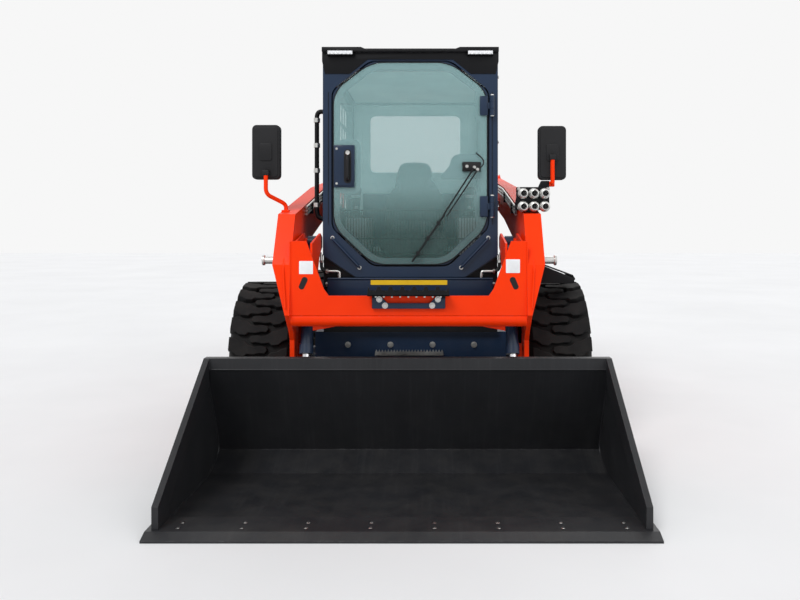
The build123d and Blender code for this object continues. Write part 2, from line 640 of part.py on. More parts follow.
def rear_door():
    """Rear door of the engine bay with its slatted grille."""
    front = OVERALL_LENGTH - BUMPER_DEPTH + 5
    door = block((-REAR_DOOR_HALF, REAR_DOOR_HALF), (front, front + REAR_DOOR_THICKNESS), (430, 1330))
    back = front + REAR_DOOR_THICKNESS
    door -= block((-340, 340), (front - 1, front + REAR_DOOR_THICKNESS + 1), (620, 1180))
    for index in range(9):
        low = 650 + index * 58
        door += block((-340, 340), (front + 10, front + 30), (low, low + 26))
    for low, high in REAR_KNUCKLES:
        door += hinge_leaf(REAR_HINGE, low, high, ((REAR_HINGE[0] - 40, REAR_HINGE[0]), (back, back + 7)))
    return door


def tail_lamps():
    """Tail lamps on the rear door."""
    back = OVERALL_LENGTH - BUMPER_DEPTH + 5 + REAR_DOOR_THICKNESS
    return both_sides(block((350, 412), (back + SEAT_GAP, back + 14), (1190, 1290)))


# Wheels

def tyre():
    """Tyre about the X axis, out to the tips of its lugs."""
    half = TYRE_WIDTH / 2
    bead = RIM_RADIUS + SEAT_GAP
    outline = [(-half + 35, bead), (-half + 4, bead + 60), (-half, TYRE_RADIUS - 60), (-half + 14, TYRE_RADIUS),
               (half - 14, TYRE_RADIUS), (half, TYRE_RADIUS - 60), (half - 4, bead + 60), (half - 35, bead)]
    face = make_face(Polyline(*outline, close=True))
    return revolve(face, Axis.X)


def rim():
    """Rim band, disc, hub and axle shaft about the X axis, for a wheel on the right side."""
    half = TYRE_WIDTH / 2 - 35
    turned = Rot(0, 90, 0)
    band = turned * (Cylinder(RIM_RADIUS, 2 * half) - Cylinder(RIM_RADIUS - RIM_WALL, 2 * half + 1))
    disc = Pos(20, 0, 0) * turned * Cylinder(RIM_RADIUS - RIM_WALL, 14)
    hub_start = HOUSING_END + RUNNING_GAP - WHEEL_X
    hub = turned * Cylinder(HUB_RADIUS, 60 - hub_start)
    shaft_start = CHAIN_CASE_HALF + 5 - WHEEL_X
    shaft = turned * Cylinder(AXLE_RADIUS, hub_start - shaft_start + 10)
    return band + disc + Pos((60 + hub_start) / 2, 0, 0) * hub + Pos((hub_start + shaft_start + 10) / 2, 0, 0) * shaft


def wheel_nodes():
    """Tyre and rim of each wheel, placed at its axle."""
    corners = [("front_left", -1, EDGE_TO_FRONT_AXLE), ("front_right", 1, EDGE_TO_FRONT_AXLE),
               ("rear_left", -1, REAR_AXLE), ("rear_right", 1, REAR_AXLE)]
    placed = {}
    for name, side, axle in corners:
        place = Pos(side * WHEEL_X, EDGE_Y + axle, TYRE_RADIUS)
        for kind, shape in (("tyre", tyre()), ("rim", rim())):
            turned = shape if side > 0 else mirror(shape, Plane.YZ)
            placed[f"{kind}_{name}"] = place * turned
    return placed


def all_nodes():
    """Every node of the machine by name."""
    makers = [bucket_shell, cutting_edge, quick_attach, lift_arm_left, lift_arm_right, cross_member, step, arm_tubes,
              coupler_block, mirrors, lift_barrels, lift_rods, tilt_barrels, tilt_rods, chassis_frame, rear_towers,
              engine_block, engine_cover, rear_bumper, side_step, cab_frame, cab_roof, visor, cab_windows,
              side_screens, cab_floor, footwell_guard, seat, consoles, grab_rail, front_beam, door_frame, door_glass,
              door_handle, wiper, rear_door, tail_lamps]
    nodes = {maker.__name__: maker() for maker in makers}
    nodes.update(wheel_nodes())
    return nodes


os.makedirs("parts", exist_ok=True)
for node_name, node_shape in all_nodes().items():
    export_step(node_shape, f"parts/{node_name}.step")
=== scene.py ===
"""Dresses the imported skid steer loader: finishes for its solids, and the pieces that only its looks need."""
import json
import logging
import math
from dataclasses import dataclass, field
from enum import Enum
from typing import Sequence

import bpy
from mathutils import Matrix, Vector


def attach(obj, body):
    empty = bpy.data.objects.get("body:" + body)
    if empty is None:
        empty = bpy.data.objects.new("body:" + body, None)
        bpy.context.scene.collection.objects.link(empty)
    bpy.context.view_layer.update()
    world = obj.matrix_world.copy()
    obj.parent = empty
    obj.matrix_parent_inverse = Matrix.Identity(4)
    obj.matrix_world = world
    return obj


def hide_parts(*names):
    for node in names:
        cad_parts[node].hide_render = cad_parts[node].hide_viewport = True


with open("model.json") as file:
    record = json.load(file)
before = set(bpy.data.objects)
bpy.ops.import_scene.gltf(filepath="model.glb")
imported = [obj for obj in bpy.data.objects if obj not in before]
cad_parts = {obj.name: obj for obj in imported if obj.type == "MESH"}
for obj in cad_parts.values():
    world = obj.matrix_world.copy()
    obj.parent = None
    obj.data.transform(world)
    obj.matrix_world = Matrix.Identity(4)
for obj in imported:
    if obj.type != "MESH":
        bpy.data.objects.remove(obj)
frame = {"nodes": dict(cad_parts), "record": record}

logging.basicConfig(level=logging.INFO, format="%(message)s")
log = logging.getLogger("loader")

Point = tuple[float, float, float]
Colour = tuple[float, float, float]
Span = tuple[float, float]

# The bucket's cutting edge is the front of the machine, and places along it are distances behind that edge.
EDGE_Y = -1.845

# Directions that pieces face or are turned round
RIGHT: Point = (1, 0, 0)
FORWARD: Point = (0, -1, 0)
BACKWARD: Point = (0, 1, 0)
UP: Point = (0, 0, 1)
ACROSS = Matrix.Scale(-1.0, 4, RIGHT)
SIDES = (-1, 1)

# Edges sharper than the first angle are bevelled, and than the others stay sharp when shaded smooth
BEVEL_ANGLE = math.radians(30)
SMOOTH_ANGLE = math.radians(35)
TUBE_SMOOTH_ANGLE = math.radians(40)


def behind(distance: float) -> float:
    """World Y of a place that far behind the bucket's cutting edge."""
    return EDGE_Y + distance


class Slot(Enum):
    """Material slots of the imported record."""

    ORANGE = "orange_paint"
    BLUE = "blue_paint"
    BLACK = "black_paint"
    RUBBER = "tyre_rubber"
    RIM = "rim_paint"
    GLASS = "tinted_glass"
    CHROME = "chromed_rod"
    ZINC = "zinc_plated_steel"
    PLASTIC = "black_plastic"
    CONSOLE = "console_plastic"
    VINYL = "seat_vinyl"
    IRON = "engine_iron"
    LENS = "lamp_lens"


# Shader building


class NodeSheet:
    """Adds nodes to one tree and links them."""

    def __init__(self, tree: bpy.types.NodeTree) -> None:
        """Keeps the tree that the nodes go into."""
        self.tree = tree

    def add(self, kind: str, **values: object) -> bpy.types.Node:
        """Adds a node.

        Args:
            kind: The node's type, such as ShaderNodeTexNoise.
            values: Input sockets by name with blanks as underscores, or the node's own properties.

        Returns:
            The new node.
        """
        node = self.tree.nodes.new(kind)
        for name, value in values.items():
            socket = node.inputs.get(name.replace("_", " "))
            if hasattr(node, name):
                setattr(node, name, value)
            elif isinstance(value, bpy.types.NodeSocket):
                self.tree.links.new(value, socket)
            else:
                socket.default_value = value
        return node

    def link(self, source: bpy.types.NodeSocket, target: bpy.types.NodeSocket) -> None:
        """Joins an output to an input."""
        self.tree.links.new(source, target)

    def maths(self, operation: str, first: object, second: object = 0.0) -> bpy.types.NodeSocket:
        """Adds a Math node and returns its output."""
        node = self.add("ShaderNodeMath", operation=operation, use_clamp=True)
        for socket, value in zip(node.inputs, (first, second)):
            if isinstance(value, bpy.types.NodeSocket):
                self.link(value, socket)
            else:
                socket.default_value = value
        return node.outputs[0]

    def mix(self, mask: object, first: object, second: object) -> bpy.types.NodeSocket:
        """Adds a colour Mix node and returns its output."""
        node = self.add("ShaderNodeMix", data_type="RGBA")
        for socket, value in ((node.inputs["Factor"], mask), (node.inputs[6], first),
                              (node.inputs[7], second)):
            if isinstance(value, bpy.types.NodeSocket):
                self.link(value, socket)
            elif isinstance(value, tuple):
                socket.default_value = (*value, 1.0)
            else:
                socket.default_value = value
        return node.outputs[2]

    def band(self, value: bpy.types.NodeSocket, low: float, high: float) -> bpy.types.NodeSocket:
        """Maps a value from low..high to 0..1."""
        node = self.add("ShaderNodeMapRange", Value=value)
        node.inputs["From Min"].default_value = low
        node.inputs["From Max"].default_value = high
        return node.outputs[0]


def new_group(name: str, numbers: Sequence[tuple[str, float]], outputs: Sequence[tuple[str, str]]) -> tuple:
    """Starts a shader node group.

    Args:
        name: The group's name.
        numbers: Its float inputs as (name, default).
        outputs: Its outputs as (name, socket type).

    Returns:
        The group's sheet, its input node and its output node.
    """
    group = bpy.data.node_groups.new(name, "ShaderNodeTree")
    for label, value in numbers:
        socket = group.interface.new_socket(label, in_out="INPUT", socket_type="NodeSocketFloat")
        socket.default_value = value
    for label, kind in outputs:
        group.interface.new_socket(label, in_out="OUTPUT", socket_type=kind)
    sheet = NodeSheet(group)
    return sheet, sheet.add("NodeGroupInput"), sheet.add("NodeGroupOutput")


class Effects:
    """Shader node groups that several finishes share."""

    def __init__(self) -> None:
        """Builds every group once."""
        self.edges = self._edges()
        self.grain = self._grain()
        self.dust = self._dust()
        self.streaks = self._streaks()

    @staticmethod
    def _edges() -> bpy.types.NodeTree:
        """Rounded edge normals, and a broken mask along the edges."""
        sheet, source, result = new_group(
            "Edge wear", (("Radius", 0.002), ("Scale", 90.0), ("Amount", 0.5)),
            (("Mask", "NodeSocketFloat"), ("Normal", "NodeSocketVector")))
        rounded = sheet.add("ShaderNodeBevel", samples=4, Radius=source.outputs["Radius"])
        flat = sheet.add("ShaderNodeNewGeometry")
        dot = sheet.add("ShaderNodeVectorMath", operation="DOT_PRODUCT")
        sheet.link(rounded.outputs[0], dot.inputs[0])
        sheet.link(flat.outputs["Normal"], dot.inputs[1])
        edge = sheet.band(sheet.maths("SUBTRACT", 1.0, dot.outputs["Value"]), 0.03, 0.16)
        places = sheet.add("ShaderNodeTexCoord")
        noise = sheet.add("ShaderNodeTexNoise", Vector=places.outputs["Object"],
                          Scale=source.outputs["Scale"])
        broken = sheet.band(noise.outputs[0], 0.45, 0.62)
        chipped = sheet.maths("MULTIPLY", edge, broken)
        sheet.link(sheet.maths("MULTIPLY", chipped, source.outputs["Amount"]), result.inputs["Mask"])
        sheet.link(rounded.outputs[0], result.inputs["Normal"])
        return sheet.tree

    @staticmethod
    def _grain() -> bpy.types.NodeTree:
        """Fine surface height with a slow change of tone."""
        sheet, source, result = new_group(
            "Surface grain", (("Fine", 400.0), ("Coarse", 3.0)),
            (("Height", "NodeSocketFloat"), ("Tone", "NodeSocketFloat")))
        places = sheet.add("ShaderNodeTexCoord")
        fine = sheet.add("ShaderNodeTexNoise", Vector=places.outputs["Object"], Scale=source.outputs["Fine"],
                         Detail=3.0)
        coarse = sheet.add("ShaderNodeTexNoise", Vector=places.outputs["Object"],
                           Scale=source.outputs["Coarse"], Detail=4.0, Roughness=0.6)
        sheet.link(fine.outputs[0], result.inputs["Height"])
        sheet.link(sheet.band(coarse.outputs[0], 0.3, 0.7), result.inputs["Tone"])
        return sheet.tree

    @staticmethod
    def _dust() -> bpy.types.NodeTree:
        """Dust that settles on what faces up and near the ground."""
        sheet, source, result = new_group(
            "Settled dust", (("Top", 0.6), ("Low", 0.5), ("Low height", 0.9)), (("Mask", "NodeSocketFloat"),))
        places = sheet.add("ShaderNodeTexCoord")
        facing = sheet.add("ShaderNodeSeparateXYZ", Vector=places.outputs["Normal"])
        up = sheet.band(facing.outputs["Z"], 0.55, 1.0)
        position = sheet.add("ShaderNodeSeparateXYZ", Vector=places.outputs["Object"])
        height = sheet.add("ShaderNodeMapRange", Value=position.outputs["Z"])
        sheet.link(source.outputs["Low height"], height.inputs["From Max"])
        height.inputs["To Min"].default_value = 1.0
        height.inputs["To Max"].default_value = 0.0
        cloud = sheet.add("ShaderNodeTexNoise", Vector=places.outputs["Object"], Scale=9.0, Detail=6.0,
                          Roughness=0.65)
        patches = sheet.band(cloud.outputs[0], 0.38, 0.72)
        top = sheet.maths("MULTIPLY", up, source.outputs["Top"])
        low = sheet.maths("MULTIPLY", height.outputs[0], source.outputs["Low"])
        both = sheet.maths("ADD", top, low)
        sheet.link(sheet.maths("MULTIPLY", both, patches), result.inputs["Mask"])
        return sheet.tree

    @staticmethod
    def _streaks() -> bpy.types.NodeTree:
        """Long rubbed lines, such as soil leaves on a bucket."""
        sheet, source, result = new_group(
            "Rubbed streaks", (("Across", 60.0), ("Along", 3.0), ("Amount", 0.5)),
            (("Mask", "NodeSocketFloat"),))
        places = sheet.add("ShaderNodeTexCoord")
        size = sheet.add("ShaderNodeCombineXYZ", X=source.outputs["Across"], Y=source.outputs["Along"],
                         Z=source.outputs["Along"])
        stretched = sheet.add("ShaderNodeVectorMath", operation="MULTIPLY")
        sheet.link(places.outputs["Object"], stretched.inputs[0])
        sheet.link(size.outputs[0], stretched.inputs[1])
        lines = sheet.add("ShaderNodeTexNoise", Vector=stretched.outputs[0], Scale=1.0, Detail=5.0,
                          Roughness=0.7)
        mask = sheet.band(lines.outputs[0], 0.52, 0.78)
        sheet.link(sheet.maths("MULTIPLY", mask, source.outputs["Amount"]), result.inputs["Mask"])
        return sheet.tree


EFFECTS = Effects()
DUST_COLOUR: Colour = (0.34, 0.31, 0.27)
STEEL_COLOUR: Colour = (0.32, 0.32, 0.33)


def start_material(name: str) -> tuple[bpy.types.Material, NodeSheet, bpy.types.Node]:
    """Starts a material with one Principled shader.

    Args:
        name: The finish's name.

    Returns:
        The material, its sheet and its shader node.
    """
    material = bpy.data.materials.new(name)
    material.use_nodes = True
    sheet = NodeSheet(material.node_tree)
    return material, sheet, material.node_tree.nodes["Principled BSDF"]


def set_inputs(node: bpy.types.Node, **values: float) -> None:
    """Sets a node's plain values, with underscores for the blanks in their names."""
    for name, value in values.items():
        node.inputs[name.replace("_", " ")].default_value = value


def place_group(sheet: NodeSheet, group: bpy.types.NodeTree, **values: float) -> bpy.types.Node:
    """Puts a shared effect into a material with its own values."""
    node = sheet.add("ShaderNodeGroup", node_tree=group)
    set_inputs(node, **values)
    return node


def roughen(sheet: NodeSheet, shader: bpy.types.Node, mask: bpy.types.NodeSocket, share: float,
            base: float) -> None:
    """Sets the roughness to a base value that a share of a mask adds to."""
    added = sheet.maths("MULTIPLY", mask, share)
    sheet.link(sheet.maths("ADD", added, base), shader.inputs["Roughness"])


def emboss(sheet: NodeSheet, shader: bpy.types.Node, grain: bpy.types.Node, strength: float, depth: float,
           edges: bpy.types.Node | None = None) -> None:
    """Bumps a shader by the grain's height, over the rounded edges where it has them."""
    bump = sheet.add("ShaderNodeBump", Strength=strength, Distance=depth, Height=grain.outputs["Height"])
    if edges:
        sheet.link(edges.outputs["Normal"], bump.inputs["Normal"])
    sheet.link(bump.outputs[0], shader.inputs["Normal"])


def scaled(colour: Colour, factor: float) -> Colour:
    """A colour made lighter or darker by a factor."""
    return tuple(min(1.0, channel * factor) for channel in colour)


@dataclass(frozen=True)
class Enamel:
    """Sprayed paint on steel, with orange peel, chipped edges and dust."""

    name: str
    colour: Colour
    shade: Colour
    roughness: float = 0.32
    coat: float = 0.25
    coat_roughness: float = 0.12
    chips: float = 0.35
    chip_scale: float = 70.0
    dust_top: float = 0.25
    dust_low: float = 0.15
    dust_height: float = 0.9
    dust_dulling: float = 0.5
    peel: float = 0.06
    peel_scale: float = 260.0
    peel_depth: float = 0.001
    tone_scale: float = 2.2
    specular: float = 0.35
    edge_radius: float = 0.0025

    def build(self) -> bpy.types.Material:
        """The finish as a material."""
        material, sheet, shader = start_material(self.name)
        edges = place_group(sheet, EFFECTS.edges, Radius=self.edge_radius, Scale=self.chip_scale,
                            Amount=self.chips)
        grain = place_group(sheet, EFFECTS.grain, Fine=self.peel_scale, Coarse=self.tone_scale)
        dust = place_group(sheet, EFFECTS.dust, Top=self.dust_top, Low=self.dust_low,
                           Low_height=self.dust_height)
        paint = sheet.mix(grain.outputs["Tone"], self.shade, self.colour)
        chipped = sheet.mix(edges.outputs["Mask"], paint, STEEL_COLOUR)
        sheet.link(sheet.mix(dust.outputs["Mask"], chipped, DUST_COLOUR), shader.inputs["Base Color"])
        roughen(sheet, shader, dust.outputs["Mask"], self.dust_dulling, self.roughness)
        set_inputs(shader, Coat_Weight=self.coat, Coat_Roughness=self.coat_roughness,
                   Specular_IOR_Level=self.specular)
        emboss(sheet, shader, grain, self.peel, self.peel_depth, edges)
        return material


@dataclass(frozen=True)
class RubbedSteel:
    """Black bucket paint, rubbed through to steel where soil slides."""

    name: str
    colour: Colour
    rub: float = 0.35
    roughness: float = 0.42
    edge_radius: float = 0.003
    chips: float = 0.25
    chip_scale: float = 40.0
    fine: float = 300.0
    coarse: float = 4.0
    streaks_across: float = 55.0
    streaks_along: float = 2.5
    dust: float = 0.02
    dust_height: float = 0.6
    dust_dulling: float = 0.4
    lightening: float = 1.4
    bare_metal: float = 0.7
    specular: float = 0.3
    bump: float = 0.12
    bump_depth: float = 0.001

    def build(self) -> bpy.types.Material:
        """The finish as a material."""
        material, sheet, shader = start_material(self.name)
        edges = place_group(sheet, EFFECTS.edges, Radius=self.edge_radius, Scale=self.chip_scale,
                            Amount=self.chips)
        grain = place_group(sheet, EFFECTS.grain, Fine=self.fine, Coarse=self.coarse)
        streaks = place_group(sheet, EFFECTS.streaks, Across=self.streaks_across, Along=self.streaks_along,
                              Amount=self.rub)
        dust = place_group(sheet, EFFECTS.dust, Top=self.dust, Low=self.dust, Low_height=self.dust_height)
        paint = sheet.mix(grain.outputs["Tone"], self.colour, scaled(self.colour, self.lightening))
        bare = sheet.maths("ADD", edges.outputs["Mask"], streaks.outputs["Mask"])
        rubbed = sheet.mix(bare, paint, STEEL_COLOUR)
        sheet.link(sheet.mix(dust.outputs["Mask"], rubbed, DUST_COLOUR), shader.inputs["Base Color"])
        sheet.link(sheet.maths("MULTIPLY", bare, self.bare_metal), shader.inputs["Metallic"])
        roughen(sheet, shader, dust.outputs["Mask"], self.dust_dulling, self.roughness)
        set_inputs(shader, Specular_IOR_Level=self.specular)
        emboss(sheet, shader, grain, self.bump, self.bump_depth, edges)
        return material


@dataclass(frozen=True)
class Moulded:
    """Moulded rubber or plastic with a fine grain."""

    name: str
    colour: Colour
    roughness: float = 0.6
    roughness_spread: float = 0.12
    fine: float = 700.0
    coarse: float = 6.0
    bump: float = 0.15
    bump_depth: float = 0.0006
    dust_top: float = 0.15
    dust_low: float = 0.2
    dust_height: float = 0.9
    lightening: float = 1.35
    specular: float = 0.2

    def build(self) -> bpy.types.Material:
        """The finish as a material."""
        material, sheet, shader = start_material(self.name)
        grain = place_group(sheet, EFFECTS.grain, Fine=self.fine, Coarse=self.coarse)
        dust = place_group(sheet, EFFECTS.dust, Top=self.dust_top, Low=self.dust_low,
                           Low_height=self.dust_height)
        body = sheet.mix(grain.outputs["Tone"], self.colour, scaled(self.colour, self.lightening))
        sheet.link(sheet.mix(dust.outputs["Mask"], body, DUST_COLOUR), shader.inputs["Base Color"])
        roughen(sheet, shader, grain.outputs["Tone"], self.roughness_spread, self.roughness)
        set_inputs(shader, Specular_IOR_Level=self.specular)
        emboss(sheet, shader, grain, self.bump, self.bump_depth)
        return material


@dataclass(frozen=True)
class BareMetal:
    """Plated, chromed or cast metal."""

    name: str
    colour: Colour
    roughness: float = 0.3
    roughness_spread: float = 0.14
    metallic: float = 1.0
    fine: float = 500.0
    coarse: float = 14.0
    bump: float = 0.05
    bump_depth: float = 0.0004
    darkening: float = 0.72

    def build(self) -> bpy.types.Material:
        """The finish as a material."""
        material, sheet, shader = start_material(self.name)
        grain = place_group(sheet, EFFECTS.grain, Fine=self.fine, Coarse=self.coarse)
        metal = sheet.mix(grain.outputs["Tone"], scaled(self.colour, self.darkening), self.colour)
        sheet.link(metal, shader.inputs["Base Color"])
        roughen(sheet, shader, grain.outputs["Tone"], self.roughness_spread, self.roughness)
        set_inputs(shader, Metallic=self.metallic)
        emboss(sheet, shader, grain, self.bump, self.bump_depth)
        return material


@dataclass(frozen=True)
class SafetyGlass:
    """Lightly tinted pane that is darker and thinner towards its foot, with a faint film of dust."""

    name: str
    colour: Colour
    low_colour: Colour
    cover: float = 0.3
    low_cover: float = 0.15
    band: tuple[float, float] = (1.10, 1.34)
    fine: float = 30.0
    coarse: float = 1.6
    film: float = 0.03
    roughness: float = 0.03
    specular: float = 0.35

    def build(self) -> bpy.types.Material:
        """The finish as a material."""
        material, sheet, shader = start_material(self.name)
        grain = place_group(sheet, EFFECTS.grain, Fine=self.fine, Coarse=self.coarse)
        places = sheet.add("ShaderNodeTexCoord")
        height = sheet.add("ShaderNodeSeparateXYZ", Vector=places.outputs["Object"])
        raised = sheet.band(height.outputs["Z"], *self.band)
        sheet.link(sheet.mix(raised, self.low_colour, self.colour), shader.inputs["Base Color"])
        film = sheet.maths("MULTIPLY", grain.outputs["Tone"], self.film)
        more = sheet.maths("MULTIPLY", raised, self.cover - self.low_cover)
        sheet.link(sheet.maths("ADD", sheet.maths("ADD", film, more), self.low_cover), shader.inputs["Alpha"])
        sheet.link(sheet.maths("ADD", film, self.roughness), shader.inputs["Roughness"])
        set_inputs(shader, Specular_IOR_Level=self.specular)
        return material


CLEAN = {"dust_top": 0.0, "dust_low": 0.0}
SIGN = {"roughness": 0.35, "bump": 0.03, "dust_top": 0.0, "dust_low": 0.05}
LAMP = {"roughness": 0.15, "bump": 0.05, "dust_top": 0.0, "dust_low": 0.05}
FINISHES = {
    Slot.ORANGE: Enamel("orange enamel", (0.97, 0.043, 0.001), (0.91, 0.036, 0.001), roughness=0.40,
                        coat=0.03, dust_top=0.05, dust_low=0.05, specular=0.10),
    Slot.BLUE: Enamel("dark blue enamel", (0.012, 0.029, 0.066), (0.008, 0.021, 0.050), roughness=0.34,
                      coat=0.12, chips=0.2, dust_top=0.08, dust_low=0.06, specular=0.25),
    Slot.BLACK: Enamel("black enamel", (0.0065, 0.0066, 0.0080), (0.0045, 0.0046, 0.0056), roughness=0.4,
                       coat=0.03, chips=0.15, dust_top=0.05, dust_low=0.04, specular=0.14),
    Slot.RUBBER: Moulded("tyre rubber", (0.0065, 0.0065, 0.007), roughness=0.62, fine=240.0, bump=0.25,
                         dust_top=0.06, dust_low=0.09, specular=0.12),
    Slot.RIM: Enamel("rim enamel", (0.95, 0.043, 0.001), (0.88, 0.036, 0.001), roughness=0.38, coat=0.03,
                     dust_top=0.06, dust_low=0.12, specular=0.12),
    Slot.GLASS: SafetyGlass("tinted glass", (0.38, 0.62, 0.62), (0.15, 0.29, 0.27)),
    Slot.CHROME: BareMetal("hard chrome", (0.78, 0.78, 0.80), roughness=0.12, bump=0.02),
    Slot.ZINC: BareMetal("zinc plate", (0.66, 0.66, 0.64), roughness=0.28),
    Slot.PLASTIC: Moulded("black plastic", (0.012, 0.012, 0.013), roughness=0.5, bump=0.2, dust_top=0.06,
                          dust_low=0.1),
    Slot.CONSOLE: Moulded("grey plastic", (0.30, 0.32, 0.33), roughness=0.55, bump=0.2, **CLEAN),
    Slot.VINYL: Moulded("seat vinyl", (0.050, 0.056, 0.060), roughness=0.55, fine=520.0, bump=0.35,
                        dust_top=0.0),
    Slot.IRON: BareMetal("painted casting", (0.11, 0.11, 0.115), roughness=0.6, metallic=0.3, bump=0.4),
    Slot.LENS: Moulded("clear lens", (0.78, 0.80, 0.82), roughness=0.12, fine=120.0, bump=0.1, **CLEAN),
}
BUCKET_FINISH = RubbedSteel("bucket black", (0.0125, 0.0130, 0.0148), rub=0.03)
BUCKET_NODES = ("bucket_shell", "cutting_edge", "quick_attach")
PLAIN_FINISHES = {finish.name: finish for finish in (
    Moulded("white sign", (0.72, 0.73, 0.74), **SIGN),
    Moulded("yellow sign", (0.78, 0.50, 0.02), **SIGN),
    BareMetal("mirror silver", (0.88, 0.89, 0.90), roughness=0.03, bump=0.0),
    Moulded("printed border", (0.085, 0.125, 0.135), roughness=0.4, bump=0.03, **CLEAN),
    Moulded("seal rubber", (0.010, 0.010, 0.011), roughness=0.5, bump=0.08, dust_top=0.05, dust_low=0.05),
    Moulded("pale lining", (0.58, 0.80, 0.80), roughness=0.7, fine=320.0, bump=0.25, **CLEAN),
    Moulded("lit diode", (0.86, 0.88, 0.90), roughness=0.10, bump=0.02, **CLEAN),
    Moulded("red lens", (0.42, 0.012, 0.010), **LAMP),
    Moulded("amber lens", (0.80, 0.28, 0.01), **LAMP),
)}


class Workshop:
    """Holds the built materials and hands each piece its finish and its body."""

    def __init__(self) -> None:
        """Builds each finish once."""
        self.materials = {slot: finish.build() for slot, finish in FINISHES.items()}
        self.bucket = BUCKET_FINISH.build()
        self.plain = {name: finish.build() for name, finish in PLAIN_FINISHES.items()}

    def finish(self, piece: bpy.types.Object, body: str, slot: Slot,
               material: bpy.types.Material | None = None) -> None:
        """Coats a new piece with the given material or its slot's one, and sets it on its body."""
        self.coat(piece, material or self.materials[slot])
        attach(piece, body)

    def coat(self, obj: bpy.types.Object, material: bpy.types.Material) -> None:
        """Gives an object one material in all its slots."""
        if not obj.data.materials:
            obj.data.materials.append(material)
        for slot in obj.material_slots:
            slot.material = material

    def dress_nodes(self) -> None:
        """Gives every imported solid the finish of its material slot."""
        special = {name: self.bucket for name in BUCKET_NODES}
        special["tail_lamps"] = self.plain["red lens"]
        for row in frame["record"]["subparts"]:
            name = row["node"]
            material = special.get(name, self.materials[Slot(row["material_slot"])])
            self.coat(frame["nodes"][name], material)
        log.info("dressed %d solids", len(frame["nodes"]))
